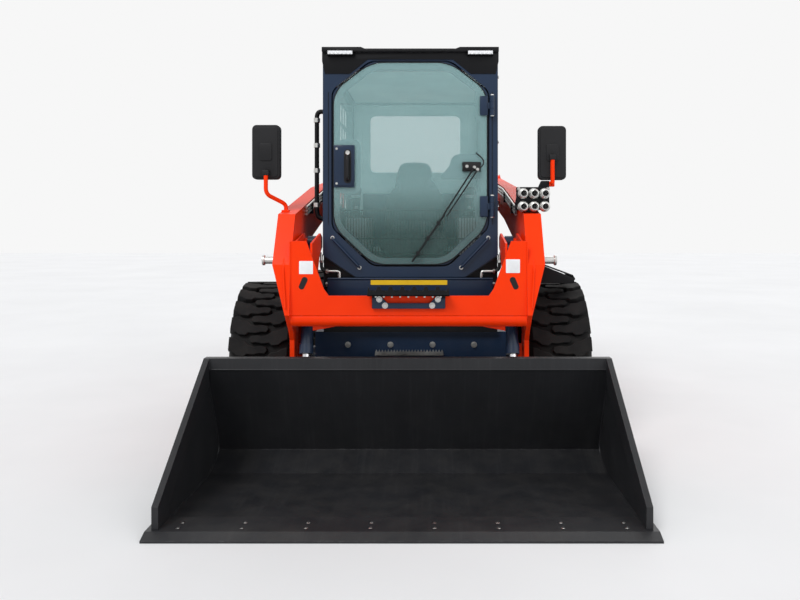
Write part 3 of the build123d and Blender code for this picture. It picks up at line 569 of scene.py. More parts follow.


# Modelling


class Bench:
    """Modelling steps in edit mode, in metres and in the machine's own frame."""

    @staticmethod
    def open_edit(obj: bpy.types.Object) -> None:
        """Selects one object alone and opens it for editing with all of it selected."""
        bpy.ops.object.select_all(action="DESELECT")
        bpy.context.view_layer.objects.active = obj
        obj.select_set(True)
        bpy.ops.object.mode_set(mode="EDIT")
        bpy.ops.mesh.select_all(action="SELECT")

    @staticmethod
    def close_edit(obj: bpy.types.Object) -> bpy.types.Object:
        """Leaves edit mode and applies the object's place."""
        bpy.ops.object.mode_set(mode="OBJECT")
        bpy.ops.object.transform_apply(location=True, rotation=True, scale=True)
        return obj

    @staticmethod
    def trace(name: str, points: Sequence[Point], closed: bool = True) -> bpy.types.Object:
        """Draws a wire by extruding one corner from point to point, and stays in edit mode.

        Args:
            name: The new object's name.
            points: The wire's corners.
            closed: Whether the wire is filled with a face.

        Returns:
            The object, with everything selected.
        """
        bpy.ops.object.select_all(action="DESELECT")
        bpy.ops.mesh.primitive_plane_add(size=0.01, location=points[0])
        obj = bpy.context.object
        obj.name = name
        bpy.ops.object.mode_set(mode="EDIT")
        bpy.ops.mesh.select_all(action="SELECT")
        bpy.ops.mesh.merge(type="CENTER")
        for before, after in zip(points, points[1:]):
            step = Vector(after) - Vector(before)
            bpy.ops.mesh.extrude_vertices_move(TRANSFORM_OT_translate={"value": step})
        bpy.ops.mesh.select_all(action="SELECT")
        if closed:
            bpy.ops.mesh.edge_face_add()
        return obj

    @classmethod
    def plate(cls, name: str, outline: Sequence[Point], thickness: Point, corner: float = 0.0,
              bevel: float = 0.0015, segments: int = 2) -> bpy.types.Object:
        """A plate from its outline.

        Args:
            name: The new object's name.
            outline: Corners of one face, in order.
            thickness: The step from that face to the other one.
            corner: Radius of the outline's own corners.
            bevel: Width of the broken edges.
            segments: Steps across each broken edge.

        Returns:
            The finished plate, at the origin.
        """
        obj = cls.trace(name, outline)
        if corner:
            bpy.ops.mesh.bevel(offset=corner, segments=5, affect="VERTICES")
        return cls._thicken(obj, thickness, bevel, segments)

    @classmethod
    def _thicken(cls, obj: bpy.types.Object, thickness: Point, bevel: float,
                 segments: int) -> bpy.types.Object:
        """Gives the flat mesh in edit mode its thickness, and breaks its edges."""
        bpy.ops.mesh.select_all(action="SELECT")
        bpy.ops.mesh.extrude_region_move(TRANSFORM_OT_translate={"value": Vector(thickness)})
        bpy.ops.mesh.select_all(action="SELECT")
        bpy.ops.mesh.normals_make_consistent(inside=False)
        cls.close_edit(obj)
        return cls.break_edges(obj, bevel, segments)

    @staticmethod
    def modified(obj: bpy.types.Object, kind: str, **values: object) -> bpy.types.Object:
        """Applies one modifier with its values to the active object."""
        modifier = obj.modifiers.new(kind, kind)
        for name, value in values.items():
            setattr(modifier, name, value)
        bpy.ops.object.modifier_apply(modifier=modifier.name)
        return obj

    @classmethod
    def rows(cls, obj: bpy.types.Object, count: int, step: float) -> bpy.types.Object:
        """Repeats the active object in steps along X."""
        return cls.modified(obj, "ARRAY", count=count, use_relative_offset=False, use_constant_offset=True,
                            constant_offset_displace=(step, 0, 0))

    @classmethod
    def break_edges(cls, obj: bpy.types.Object, width: float, segments: int = 2) -> bpy.types.Object:
        """Bevels every sharp edge of the active object and shades it smooth."""
        if width:
            cls.modified(obj, "BEVEL", width=width, segments=segments, limit_method="ANGLE",
                         angle_limit=BEVEL_ANGLE, harden_normals=False)
        bpy.ops.object.shade_smooth_by_angle(angle=SMOOTH_ANGLE)
        return obj

    @staticmethod
    def upright(x: Span, y: float, z: Span) -> list[Point]:
        """Corners of an upright rectangle across the machine, from its spans across and upwards."""
        return [(x[0], y, z[0]), (x[1], y, z[0]), (x[1], y, z[1]), (x[0], y, z[1])]

    @staticmethod
    def drawn(corners: Sequence[tuple[float, float]], y: float, mirrored: bool = False) -> list[Point]:
        """Corners given as (x, z), set across the machine at one place along it.

        Args:
            corners: The outline, or its right half from below to above.
            y: The outline's place along the machine.
            mirrored: Whether the left half is added as a mirror image.

        Returns:
            The outline's corners in order.
        """
        left = [(-x, z) for x, z in reversed(corners)] if mirrored else []
        return [(x, y, z) for x, z in list(corners) + left]

    @classmethod
    def lathe(cls, name: str, section: Sequence[tuple[float, float]], centre: Point, axis: Point,
              steps: int = 32, closed: bool = False) -> bpy.types.Object:
        """Spins a section round an axis.

        Args:
            name: The new object's name.
            section: Corners as (distance along the axis, radius).
            centre: The point on the axis that the distances start from.
            axis: The axis as a unit vector.
            steps: Faces round the axis.
            closed: Whether the section's last corner joins its first one.

        Returns:
            The finished turning, at the origin.
        """
        middle, spin_axis = Vector(centre), Vector(axis)
        outward = spin_axis.orthogonal().normalized()
        corners = [middle + spin_axis * along + outward * radius for along, radius in section]
        obj = cls.trace(name, corners + corners[:1] if closed else corners, closed=False)
        bpy.ops.mesh.spin(steps=steps, angle=math.tau, center=middle, axis=spin_axis)
        bpy.ops.mesh.select_all(action="SELECT")
        bpy.ops.mesh.remove_doubles(threshold=0.00001)
        bpy.ops.mesh.normals_make_consistent(inside=False)
        cls.close_edit(obj)
        bpy.ops.object.shade_smooth_by_angle(angle=SMOOTH_ANGLE)
        return obj

    @staticmethod
    def join(name: str, parts: Sequence[bpy.types.Object]) -> bpy.types.Object:
        """Joins several objects into one mesh."""
        bpy.ops.object.select_all(action="DESELECT")
        for part in parts:
            part.select_set(True)
        bpy.context.view_layer.objects.active = parts[0]
        if len(parts) > 1:
            bpy.ops.object.join()
        joined = bpy.context.object
        joined.name = name
        joined.data.name = name
        return joined

    @staticmethod
    def copied(obj: bpy.types.Object, name: str, change: Matrix) -> bpy.types.Object:
        """A copy with its own mesh, moved by a matrix."""
        twin = obj.copy()
        twin.data = obj.data.copy()
        twin.name = name
        twin.data.name = name
        bpy.context.scene.collection.objects.link(twin)
        twin.data.transform(change)
        if change.determinant() < 0:
            twin.data.flip_normals()
        return twin

    @classmethod
    def pair(cls, name: str, obj: bpy.types.Object) -> bpy.types.Object:
        """The object and its mirror image across the machine, as one mesh."""
        return cls.join(name, [obj, cls.copied(obj, name + "_twin", ACROSS)])

    @classmethod
    def box(cls, name: str, low: Point, high: Point, bevel: float = 0.002,
            segments: int = 2) -> bpy.types.Object:
        """A block between two corners, with broken edges."""
        (x0, y0, z0), (x1, y1, z1) = low, high
        outline = cls.upright((x0, x1), y0, (z0, z1))
        return cls.plate(name, outline, (0, y1 - y0, 0), bevel=bevel, segments=segments)

    @classmethod
    def frame(cls, name: str, outline: Sequence[Point], width: float, thickness: Point, corner: float = 0.0,
              bevel: float = 0.0006) -> bpy.types.Object:
        """A flat ring: an outline with a border of one width.

        Args:
            name: The new object's name.
            outline: Corners of the ring's outer edge.
            width: Width of the ring.
            thickness: The step from its front face to its back.
            corner: Radius of the outline's corners.
            bevel: Width of the broken edges.

        Returns:
            The finished ring, at the origin.
        """
        obj = cls.trace(name, outline)
        if corner:
            bpy.ops.mesh.bevel(offset=corner, segments=6, affect="VERTICES")
            bpy.ops.mesh.select_all(action="SELECT")
        bpy.ops.mesh.inset(thickness=width)
        bpy.ops.mesh.delete(type="FACE")
        return cls._thicken(obj, thickness, bevel, 1)

    @classmethod
    def tube(cls, name: str, route: Sequence[Point], radius: float, bend: float = 0.0,
             steps: int = 5) -> bpy.types.Object:
        """A round bar along a route.

        Args:
            name: The new object's name.
            route: Corners of its middle line.
            radius: Radius of the bar.
            bend: Distance from each corner at which its curve starts.
            steps: Points in each curve.

        Returns:
            The finished bar, at the origin.
        """
        obj = cls.trace(name, cls.eased(route, bend, steps), closed=False)
        cls.close_edit(obj)
        bpy.ops.object.convert(target="CURVE")
        obj = bpy.context.object
        obj.data.bevel_depth = radius
        obj.data.bevel_resolution = 3
        obj.data.use_fill_caps = True
        bpy.ops.object.convert(target="MESH")
        obj = bpy.context.object
        obj.name = name
        bpy.ops.object.shade_smooth_by_angle(angle=TUBE_SMOOTH_ANGLE)
        return obj

    @staticmethod
    def eased(route: Sequence[Point], bend: float, steps: int) -> list[Vector]:
        """The route's corners drawn out as curves."""
        points = [Vector(point) for point in route]
        if not bend:
            return points
        line = [points[0]]
        for before, corner, after in zip(points, points[1:], points[2:]):
            start = corner + (before - corner).normalized() * min(bend, (before - corner).length / 2)
            end = corner + (after - corner).normalized() * min(bend, (after - corner).length / 2)
            for index in range(steps + 1):
                share = index / steps
                line.append(start * (1 - share) ** 2 + corner * 2 * share * (1 - share) + end * share ** 2)
        return line + [points[-1]]

    @classmethod
    def hex_head(cls, name: str, radius: float, height: float, washer: float = 1.35) -> bpy.types.Object:
        """A hexagon bolt head on a washer, seated at the origin and pointing up."""
        bpy.ops.object.select_all(action="DESELECT")
        bpy.ops.mesh.primitive_cylinder_add(vertices=6, radius=radius, depth=height,
                                            location=(0, 0, height * 0.75))
        head = cls.break_edges(bpy.context.object, radius * 0.12, 1)
        bpy.ops.object.transform_apply(location=True, rotation=True, scale=True)
        bpy.ops.object.select_all(action="DESELECT")
        bpy.ops.mesh.primitive_cylinder_add(vertices=16, radius=radius * washer, depth=height * 0.25,
                                            location=(0, 0, height * 0.125))
        ring = bpy.context.object
        bpy.ops.object.transform_apply(location=True, rotation=True, scale=True)
        return cls.join(name, [head, ring])

    @classmethod
    def scatter(cls, name: str, model: bpy.types.Object, places: Sequence[Point],
                facing: Point) -> bpy.types.Object:
        """Copies of a model that stands on the origin, set at places and turned to face one way.

        Args:
            name: The joined object's name.
            model: The piece to copy, which is then removed.
            places: Where each copy's seat goes.
            facing: Where the model's own up points.

        Returns:
            All the copies as one object.
        """
        turn = Vector(UP).rotation_difference(Vector(facing)).to_matrix().to_4x4()
        copies = [cls.copied(model, f"{name}_{index}", Matrix.Translation(place) @ turn)
                  for index, place in enumerate(places)]
        bpy.data.objects.remove(model)
        return cls.join(name, copies)

    @classmethod
    def bolts(cls, name: str, places: Sequence[Point], facing: Point, radius: float = 0.009,
              height: float = 0.008) -> bpy.types.Object:
        """A row of hexagon bolt heads."""
        return cls.scatter(name, cls.hex_head(name + "_head", radius, height), places, facing)

    @classmethod
    def ring(cls, name: str, outer: Sequence[Point], inner: Sequence[Point], thickness: Point,
             outer_corner: float = 0.0, inner_corner: float = 0.0, bevel: float = 0.0008) -> bpy.types.Object:
        """A flat ring between two outlines that have the same number of corners.

        Args:
            name: The new object's name.
            outer: Corners of the outer edge.
            inner: Corners of the hole.
            thickness: The step from the front face to the back.
            outer_corner: Radius of the outer corners.
            inner_corner: Radius of the hole's corners.
            bevel: Width of the broken edges.

        Returns:
            The finished ring, at the origin.
        """
        loops = []
        for label, outline, corner in (("outer", outer, outer_corner), ("inner", inner, inner_corner)):
            loop = cls.trace(f"{name}_{label}", outline)
            if corner:
                bpy.ops.mesh.bevel(offset=corner * math.tan(math.radians(22.5)), segments=5,
                                   affect="VERTICES")
            bpy.ops.mesh.select_all(action="SELECT")
            bpy.ops.mesh.delete(type="ONLY_FACE")
            loops.append(cls.close_edit(loop))
        obj = cls.join(name, loops)
        cls.open_edit(obj)
        bpy.ops.mesh.bridge_edge_loops()
        return cls._thicken(obj, thickness, bevel, 1)


@dataclass
class Tyres:
    """Four pneumatic tyres with angled lugs that meet in turn at the middle of the tread."""

    radius: float = 0.418
    half_width: float = 0.163
    tread: float = 0.026
    rim_radius: float = 0.208
    lugs: int = 24
    centre_x: float = 0.761
    axles: tuple[float, float] = (1.455, 2.665)
    corners: tuple[tuple[str, int, int], ...] = (("front_left", -1, 0), ("front_right", 1, 0),
                                                 ("rear_left", -1, 1), ("rear_right", 1, 1))
    # Corners of one lug on the flattened tread, as (across, along), for a lug from the right shoulder
    lug_outline: tuple[tuple[float, float], ...] = (
        (0.163, -0.004), (0.122, -0.014), (0.102, -0.030), (0.068, -0.034), (0.054, -0.021), (0.020, -0.024),
        (-0.010, -0.018), (-0.036, -0.020), (-0.048, -0.004), (-0.040, 0.014), (-0.012, 0.018),
        (0.020, 0.014), (0.048, 0.023), (0.066, 0.038), (0.100, 0.043), (0.120, 0.055), (0.163, 0.062))

    def build(self, workshop: "Workshop") -> None:
        """Models one tyre and puts a copy at each corner."""
        tyre = Bench.join("tyre", [self._carcass(), self._tread()])
        for name, place in self.places():
            piece = Bench.copied(tyre, "tyre_dressed_" + name, place)
            workshop.finish(piece, "wheel_" + name, Slot.RUBBER)
            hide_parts("tyre_" + name)
        bpy.data.objects.remove(tyre)
        log.info("tyres: %d lugs each", 2 * self.lugs)

    def places(self) -> list[tuple[str, Matrix]]:
        """Each wheel's name, with the matrix that sets a right wheel's model in its place."""
        rows = []
        for name, side, axle in self.corners:
            middle = Matrix.Translation((side * self.centre_x, behind(self.axles[axle]), self.radius))
            rows.append((name, middle @ ACROSS if side < 0 else middle))
        return rows

    def _carcass(self) -> bpy.types.Object:
        """The tyre without its lugs, closed at the beads."""
        half, root = self.half_width, self.radius - self.tread
        wall = ((0.100, root), (0.128, root - 0.004), (0.141, root - 0.016), (half - 0.006, root - 0.040),
                (half - 0.003, 0.335), (half - 0.001, 0.332), (half - 0.001, 0.318), (half - 0.003, 0.315),
                (half - 0.002, 0.280), (half - 0.008, 0.252), (half - 0.004, 0.249), (half - 0.004, 0.240),
                (half - 0.012, 0.236), (half - 0.026, 0.218), (half - 0.035, self.rim_radius))
        section = [(-along, radius) for along, radius in reversed(wall)] + [(0.0, root + 0.001)] + list(wall)
        return Bench.lathe("carcass", section, (0, 0, 0), RIGHT, steps=96, closed=True)

    def _tread(self) -> bpy.types.Object:
        """All lugs, modelled flat and then rolled up."""
        root = self.radius - self.tread
        pitch = math.tau * root / self.lugs
        # The lugs start inside the carcass, so that no gap shows below them
        below = 0.040
        outline = [(-along, below, across) for across, along in self.lug_outline]
        lug = Bench.plate("lug", outline, (0, -below - self.tread, 0), bevel=0.0)
        Bench.open_edit(lug)
        bpy.ops.mesh.select_all(action="DESELECT")
        bpy.ops.object.mode_set(mode="OBJECT")
        for vertex in lug.data.vertices:
            vertex.select = vertex.co.z > self.half_width - 0.001 and vertex.co.y < 0
        bpy.ops.object.mode_set(mode="EDIT")
        bpy.ops.transform.translate(value=(0, 0, -0.016))
        Bench.close_edit(lug)
        Bench.break_edges(lug, 0.004, 2)
        half_pitch = Matrix.Translation((pitch / 2, 0, 0))
        twin = Bench.copied(lug, "lug_left", half_pitch @ Matrix.Scale(-1.0, 4, UP))
        pair = Bench.rows(Bench.join("lug_pair", [lug, twin]), self.lugs, pitch)
        pair.data.transform(Matrix.Translation((-pitch * self.lugs / 2, 0, 0)))
        # A bend's length is the mesh's own, so the turn is given for that length
        span = max(v.co.x for v in pair.data.vertices) - min(v.co.x for v in pair.data.vertices)
        Bench.modified(pair, "SIMPLE_DEFORM", deform_method="BEND", deform_axis="Z",
                       angle=math.tau * span / (pitch * self.lugs))
        across = [[v.co[axis] for v in pair.data.vertices] for axis in (0, 1)]
        middle = [-(min(places) + max(places)) / 2 for places in across]
        pair.data.transform(Matrix.Rotation(math.radians(90), 4, "Y") @ Matrix.Translation((*middle, 0)))
        return pair


@dataclass
class CabShell:
    """The cab's front: face plate, returns, black sheets painted as shade below the cut corners and behind the
    beam, visor, pane and door frame.
    """

    half: float = 0.443
    sill_half: float = 0.276
    sill: float = 0.883
    corner: float = 0.995
    top: float = 2.020
    face: float = 1.1065
    wall: float = 1.136
    pane_half: float = 0.386
    pane_low: float = 0.950
    pane_high: float = 1.966
    top_cut: tuple[float, float] = (0.189, 0.145)
    bottom_cut: tuple[float, float] = (0.201, 0.189)
    pane_front: float = 1.098
    pane_back: float = 1.106
    top_ease: float = 0.022
    # Hinges as (low, high, height of each outer knuckle)
    hinges: tuple[tuple[float, float, float], ...] = ((1.188, 1.294, 0.0355), (1.698, 1.799, 0.0338))
    hinge_axis: tuple[float, float] = (0.412, 1.086)

    def build(self, workshop: "Workshop") -> None:
        """Builds every piece and sets it on the cab or the door."""
        workshop.finish(self._face(), "chassis", Slot.BLUE)
        # Painted shade: black sheets in the hollows below the cut corners and behind the beam.
        workshop.finish(self._painted_pocket_shade(), "chassis", Slot.BLACK)
        workshop.finish(self._lip(), "chassis", Slot.BLUE)
        visor = self._visor()
        workshop.finish(visor, "chassis", Slot.BLACK)
        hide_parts("visor")
        pane = Bench.plate("door_pane", self.pane(0.0, self.pane_front),
                           (0, self.pane_back - self.pane_front, 0), corner=0.060, bevel=0.0012)
        workshop.finish(pane, "door", Slot.GLASS)
        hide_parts("door_glass")
        frame_ring = self._door_ring()
        workshop.finish(frame_ring, "door", Slot.BLUE)
        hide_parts("door_frame")
        log.info("cab shell: face, pockets, visor and pane")

    def pane(self, grow: float, distance: float) -> list[Point]:
        """The pane's outline, grown, at a distance behind the bucket's edge."""
        side, low, high = self.pane_half + grow, self.pane_low - grow, self.pane_high + grow
        ease = grow * (math.sqrt(2.0) - 1.0)
        top_x, top_z = self.top_cut[0] + ease, self.top_cut[1] + ease
        base_x, base_z = self.bottom_cut[0] + ease, self.bottom_cut[1] + ease
        right = [(side - base_x, low), (side, low + base_z), (side, high - top_z), (side - top_x, high)]
        return Bench.drawn(right, behind(distance), mirrored=True)

    def shell(self, shrink: float, distance: float) -> list[Point]:
        """The face plate's outline, shrunk, at a distance behind the bucket's edge."""
        half, sill_half, low = self.half - shrink, self.sill_half - shrink * 0.5, self.sill + shrink
        corner, high = self.corner + shrink * 0.5, self.top - shrink
        right = [(sill_half, low), (half, corner), (half, high - self.top_ease), (half - self.top_ease, high)]
        return Bench.drawn(right, behind(distance), mirrored=True)

    def _face(self) -> bpy.types.Object:
        """Face plate round the pane, with the returns that reach back to the cab's wall."""
        plate = Bench.ring("face_plate", self.shell(0.0, self.face), self.pane(0.013, self.face),
                           (0, 0.012, 0), 0.010, 0.070)
        start = self.face + 0.008
        returns = Bench.ring("face_returns", self.shell(0.0006, start), self.shell(0.007, start),
                             (0, self.wall - self.face - 0.0085, 0), 0.010, 0.008)
        return Bench.join("cab_face", [plate, returns])

    def _painted_pocket_shade(self) -> bpy.types.Object:
        """Thin black sheets painted as shade on the wall below the cut corners and behind the beam."""
        y = behind(self.wall)
        outline = Bench.drawn([(0.262, 0.862), (0.441, 0.862), (0.441, 0.984), (0.270, 0.872)], y)
        # Painted shade: a thin black sheet on the wall below each cut corner.
        corner = Bench.plate("pocket_painted_shade", outline, (0, -0.0016, 0), bevel=0.0004, segments=1)
        # Painted shade: a thin black sheet on the wall behind the beam.
        wall = Bench.plate("wall_painted_shade", Bench.upright((-0.441, 0.441), y, (0.602, 0.866)), (0, -0.0012, 0),
                           bevel=0.0004, segments=1)
        return Bench.join("cab_pockets_painted_shade", [Bench.pair("painted_pocket_shades", corner), wall])

    def _lip(self) -> bpy.types.Object:
        """Rounded lip along the front beam's top, with the strip below it and the shelf behind."""
        half, y = 0.4145, behind(1.0775)
        lip = Bench.tube("beam_lip", [(-half, y, 0.877), (half, y, 0.877)], 0.0058)
        rise = Bench.box("beam_rise", (-half, y - 0.001, 0.8660), (half, y + 0.003, 0.880), 0.0008, 1)
        shelf = Bench.box("beam_shelf", (-half, y, 0.8684), (half, behind(1.1052), 0.8720), 0.0012, 1)
        return Bench.join("beam_lip", [lip, rise, shelf])

    def _visor(self) -> bpy.types.Object:
        """Visor with raised ends, side gussets and lamp pods."""
        top = [(-0.4465, 2.0204), (-0.4465, 2.045), (-0.250, 2.045), (-0.215, 2.031), (0.215, 2.031),
               (0.250, 2.045), (0.4465, 2.045), (0.4465, 2.0204)]
        shelf = Bench.plate("visor_shelf", Bench.drawn(top, behind(1.088)), (0, 0.132, 0), bevel=0.002)
        front = [(-0.4465, 2.040), (-0.4465, 1.975), (-0.432, 1.912), (-0.306, 1.912), (-0.216, 1.984),
                 (0.216, 1.984), (0.306, 1.912), (0.432, 1.912), (0.4465, 1.975), (0.4465, 2.040)]
        apron = Bench.plate("visor_apron", Bench.drawn(front, behind(1.1025)), (0, 0.0035, 0), bevel=0.001)
        pods = [Bench.box("lamp_pod", (side * 0.353 - 0.067, behind(1.080), 2.001),
                          (side * 0.353 + 0.067, behind(1.1025), 2.029), 0.003) for side in SIDES]
        return Bench.join("visor_dressed", [shelf, apron] + pods)

    def _door_ring(self) -> bpy.types.Object:
        """Frame behind the pane, with the hinges' leaves, necks and middle knuckles."""
        distance, gap = self.pane_back + 0.0003, 0.001
        ring = Bench.ring("door_ring", self.pane(0.006, distance), self.pane(-0.030, distance),
                          (0, 0.0105, 0), 0.066, 0.032)
        axis, front, back = self.hinge_axis, behind(1.0895), behind(1.0975)
        leaves = [Bench.box("hinge_leaf", (0.351, front, low + gap), (0.392, back, high - gap), 0.0030)
                  for low, high, third in self.hinges]
        middles = [(low + third + gap, high - third - gap) for low, high, third in self.hinges]
        leaves += [Bench.box("hinge_neck", (0.386, front, low), (axis[0], back, high), 0.0015)
                   for low, high in middles]
        knuckles = [Bench.lathe("knuckle", [(low, 0.0), (low, 0.012), (high, 0.012), (high, 0.0)],
                                (axis[0], behind(axis[1]), 0.0), UP, steps=28) for low, high in middles]
        return Bench.join("door_frame_dressed", [ring] + leaves + knuckles)


@dataclass
class StepPlate:
    """Toothed step in the middle of the cross plate, with the plate's gussets and slots."""

    half: float = 0.190
    front: float = 0.760
    back: float = 0.8297
    low: float = 0.818
    notches: int = 7

    def build(self, workshop: "Workshop") -> None:
        """Builds every piece and sets it on the arms."""
        tread = self._tread()
        workshop.finish(tread, "lift_arms", Slot.BLACK)
        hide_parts("step")
        workshop.finish(Bench.pair("plate_gussets", self._gusset()), "lift_arms", Slot.ORANGE)
        workshop.finish(self._slots(), "lift_arms", Slot.PLASTIC)
        log.info("step: tread, gussets and slots")

    def _tread(self) -> bpy.types.Object:
        """Tread, toothed front strip, rear strip and the two lugs below."""
        tread = Bench.box("tread", (-self.half, behind(self.front), self.low),
                          (self.half, behind(self.back), self.low + 0.006), 0.001, 1)
        rear = Bench.box("rear_strip", (-self.half, behind(self.back - 0.005), self.low),
                         (self.half, behind(self.back), self.low + 0.022), 0.001, 1)
        lugs = [Bench.box("tread_lug", (side * 0.148 - 0.024, behind(self.back - 0.008), 0.756),
                          (side * 0.148 + 0.024, behind(self.back), self.low), 0.0015, 1) for side in SIDES]
        return Bench.join("step_dressed", [tread, rear, self._teeth()] + lugs)

    @staticmethod
    def _gusset() -> bpy.types.Object:
        """Corner plate between the cross plate's lower flange and the right leg."""
        corners = [(0.314, 0.670), (0.458, 0.672), (0.458, 0.643)]
        return Bench.plate("gusset", Bench.drawn(corners, behind(0.879)), (0, 0.010, 0), bevel=0.0015)

    def _teeth(self) -> bpy.types.Object:
        """Toothed strip along the front edge."""
        pitch = 2 * self.half / self.notches
        top, root = self.low + 0.044, self.low + 0.022
        corners = [(-self.half, self.low), (self.half, self.low)]
        for index in reversed(range(self.notches)):
            middle = -self.half + (index + 0.5) * pitch
            corners += [(middle + 0.021, top), (middle + 0.012, root), (middle - 0.012, root),
                        (middle - 0.021, top)]
        outline = Bench.drawn(corners, behind(self.front))
        return Bench.plate("teeth", outline, (0, 0.005, 0), bevel=0.0008, segments=1)

    def _slots(self) -> bpy.types.Object:
        """Dark slots in the ears of the cross plate."""
        lean, half_length, radius, steps = math.radians(24), 0.017, 0.014, 16
        slots = []
        for side in SIDES:
            points = []
            for index in range(steps):
                turn = math.tau * index / steps
                shift = half_length if index <= steps // 2 else -half_length
                across, up = radius * math.cos(turn), radius * math.sin(turn) + shift
                points.append((side * (0.495 + across * math.cos(lean) - up * math.sin(lean)), behind(0.830),
                               0.873 + across * math.sin(lean) + up * math.cos(lean)))
            slots.append(Bench.plate("ear_slot", points, (0, -0.0007, 0), bevel=0.0))
        return Bench.join("ear_slots", slots)


@dataclass
class BlockAndPlate:
    """The coupler manifold on the right knee and the black plate over the right tyre."""

    block_front: float = 1.020
    plate_front: float = 1.190

    def build(self, workshop: "Workshop") -> None:
        """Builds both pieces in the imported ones' places."""
        block = self._manifold()
        workshop.finish(block, "lift_arms", Slot.BLACK)
        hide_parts("coupler_block")
        plate = self._plate()
        workshop.finish(plate, "chassis", Slot.BLACK)
        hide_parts("side_step")
        log.info("manifold and side plate: dressed")

    def _manifold(self) -> bpy.types.Object:
        """Manifold, its foot on the knee and the bracket above."""
        y = behind(self.block_front)
        body = Bench.box("manifold", (0.530, y, 1.222), (0.690, y + 0.050, 1.335), 0.003)
        side = [(1.012, 1.2077), (1.070, 1.2185), (1.070, 1.236), (1.012, 1.236)]
        foot = Bench.plate("foot", [(0.562, behind(distance), z) for distance, z in side], (0.072, 0, 0),
                           bevel=0.002)
        face = Bench.drawn([(0.637, 1.333), (0.691, 1.333), (0.691, 1.366), (0.652, 1.366)], behind(1.030))
        bracket = Bench.plate("bracket", face, (0, 0.030, 0), bevel=0.002)
        return Bench.join("coupler_block_dressed", [body, foot, bracket])

    def _plate(self) -> bpy.types.Object:
        """Folded black plate beside the cab, with its down-turned lip."""
        fold = [(0.4435, 0.958), (0.655, 0.958), (0.838, 0.890), (0.850, 0.872), (0.850, 0.864),
                (0.844, 0.864), (0.843, 0.871), (0.834, 0.884), (0.653, 0.952), (0.4435, 0.952)]
        outline = Bench.drawn(fold, behind(self.plate_front))
        return Bench.plate("side_plate_dressed", outline, (0, 0.230, 0), bevel=0.001, segments=1)


@dataclass
class Rims:
    """Pressed rims with flanges, a dished disc, studs, nuts and a valve."""

    seat_end: float = 0.120
    flange: float = 0.133
    rim_radius: float = 0.208
    flange_radius: float = 0.222
    disc: float = 0.046
    stud_circle: float = 0.110
    studs: int = 8

    def build(self, workshop: "Workshop", tyres: Tyres) -> None:
        """Models one wheel centre and puts a copy at each corner."""
        rim, nuts = self._rim(), self._nuts()
        for name, place in tyres.places():
            piece = Bench.copied(rim, "rim_dressed_" + name, place)
            workshop.finish(piece, "wheel_" + name, Slot.RIM)
            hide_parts("rim_" + name)
            workshop.finish(Bench.copied(nuts, "wheel_nuts_" + name, place), "wheel_" + name, Slot.ZINC)
        bpy.data.objects.remove(rim)
        bpy.data.objects.remove(nuts)
        log.info("wheels: %d nuts each", self.studs)

    def _rim(self) -> bpy.types.Object:
        """Rim, disc, hub and shaft, turned in one."""
        inner, disc, end = self.rim_radius - 0.012, self.disc, self.flange
        outer = self.flange_radius
        section = [(end, inner + 0.006), (end + 0.001, outer - 0.004), (end - 0.002, outer),
                   (end - 0.006, outer - 0.003), (self.seat_end + 0.004, self.rim_radius + 0.001),
                   (self.seat_end - 0.022, self.rim_radius - 0.001),
                   (0.060, self.rim_radius - 0.004), (-0.060, self.rim_radius - 0.004),
                   (0.022 - self.seat_end, self.rim_radius - 0.001),
                   (-self.seat_end - 0.004, self.rim_radius + 0.001),
                   (0.006 - end, outer - 0.003), (0.002 - end, outer), (-end - 0.001, outer - 0.004),
                   (-end, inner + 0.006), (0.020 - end, inner - 0.002), (disc - 0.040, inner - 0.004),
                   (disc - 0.014, 0.150), (disc - 0.012, 0.080), (-0.185, 0.078), (-0.185, 0.038),
                   (-0.266, 0.038), (-0.266, 0.0)]
        face = [(0.063, 0.0), (0.063, 0.052), (0.060, 0.056), (0.052, 0.058), (0.052, 0.072),
                (disc + 0.001, 0.076), (disc, 0.090), (disc + 0.003, 0.098), (disc + 0.003, 0.124),
                (disc, 0.132), (disc - 0.002, 0.148), (disc - 0.010, 0.160),
                (disc - 0.026, inner - 0.003), (0.100, inner - 0.003)]
        return Bench.lathe("rim", face + section, (0, 0, 0), RIGHT, steps=72)

    def _nuts(self) -> bpy.types.Object:
        """Studs with their nuts, and the valve."""
        turns = [math.tau * index / self.studs for index in range(self.studs)]
        circle = [(self.stud_circle * math.cos(turn), self.stud_circle * math.sin(turn)) for turn in turns]
        section = [(0.0, 0.0065), (0.026, 0.0065), (0.028, 0.005), (0.028, 0.0)]
        parts = [Bench.lathe("stud", section, (self.disc + 0.002, y, z), RIGHT, steps=12) for y, z in circle]
        parts.append(Bench.bolts("nut", [(self.disc + 0.003, y, z) for y, z in circle], RIGHT, 0.0135, 0.017))
        valve = [(0.100, 0.0, 0.190), (0.118, 0.0, 0.186), (0.132, 0.0, 0.176)]
        parts.append(Bench.tube("valve", valve, 0.0045, 0.008))
        return Bench.join("wheel_nuts", parts)


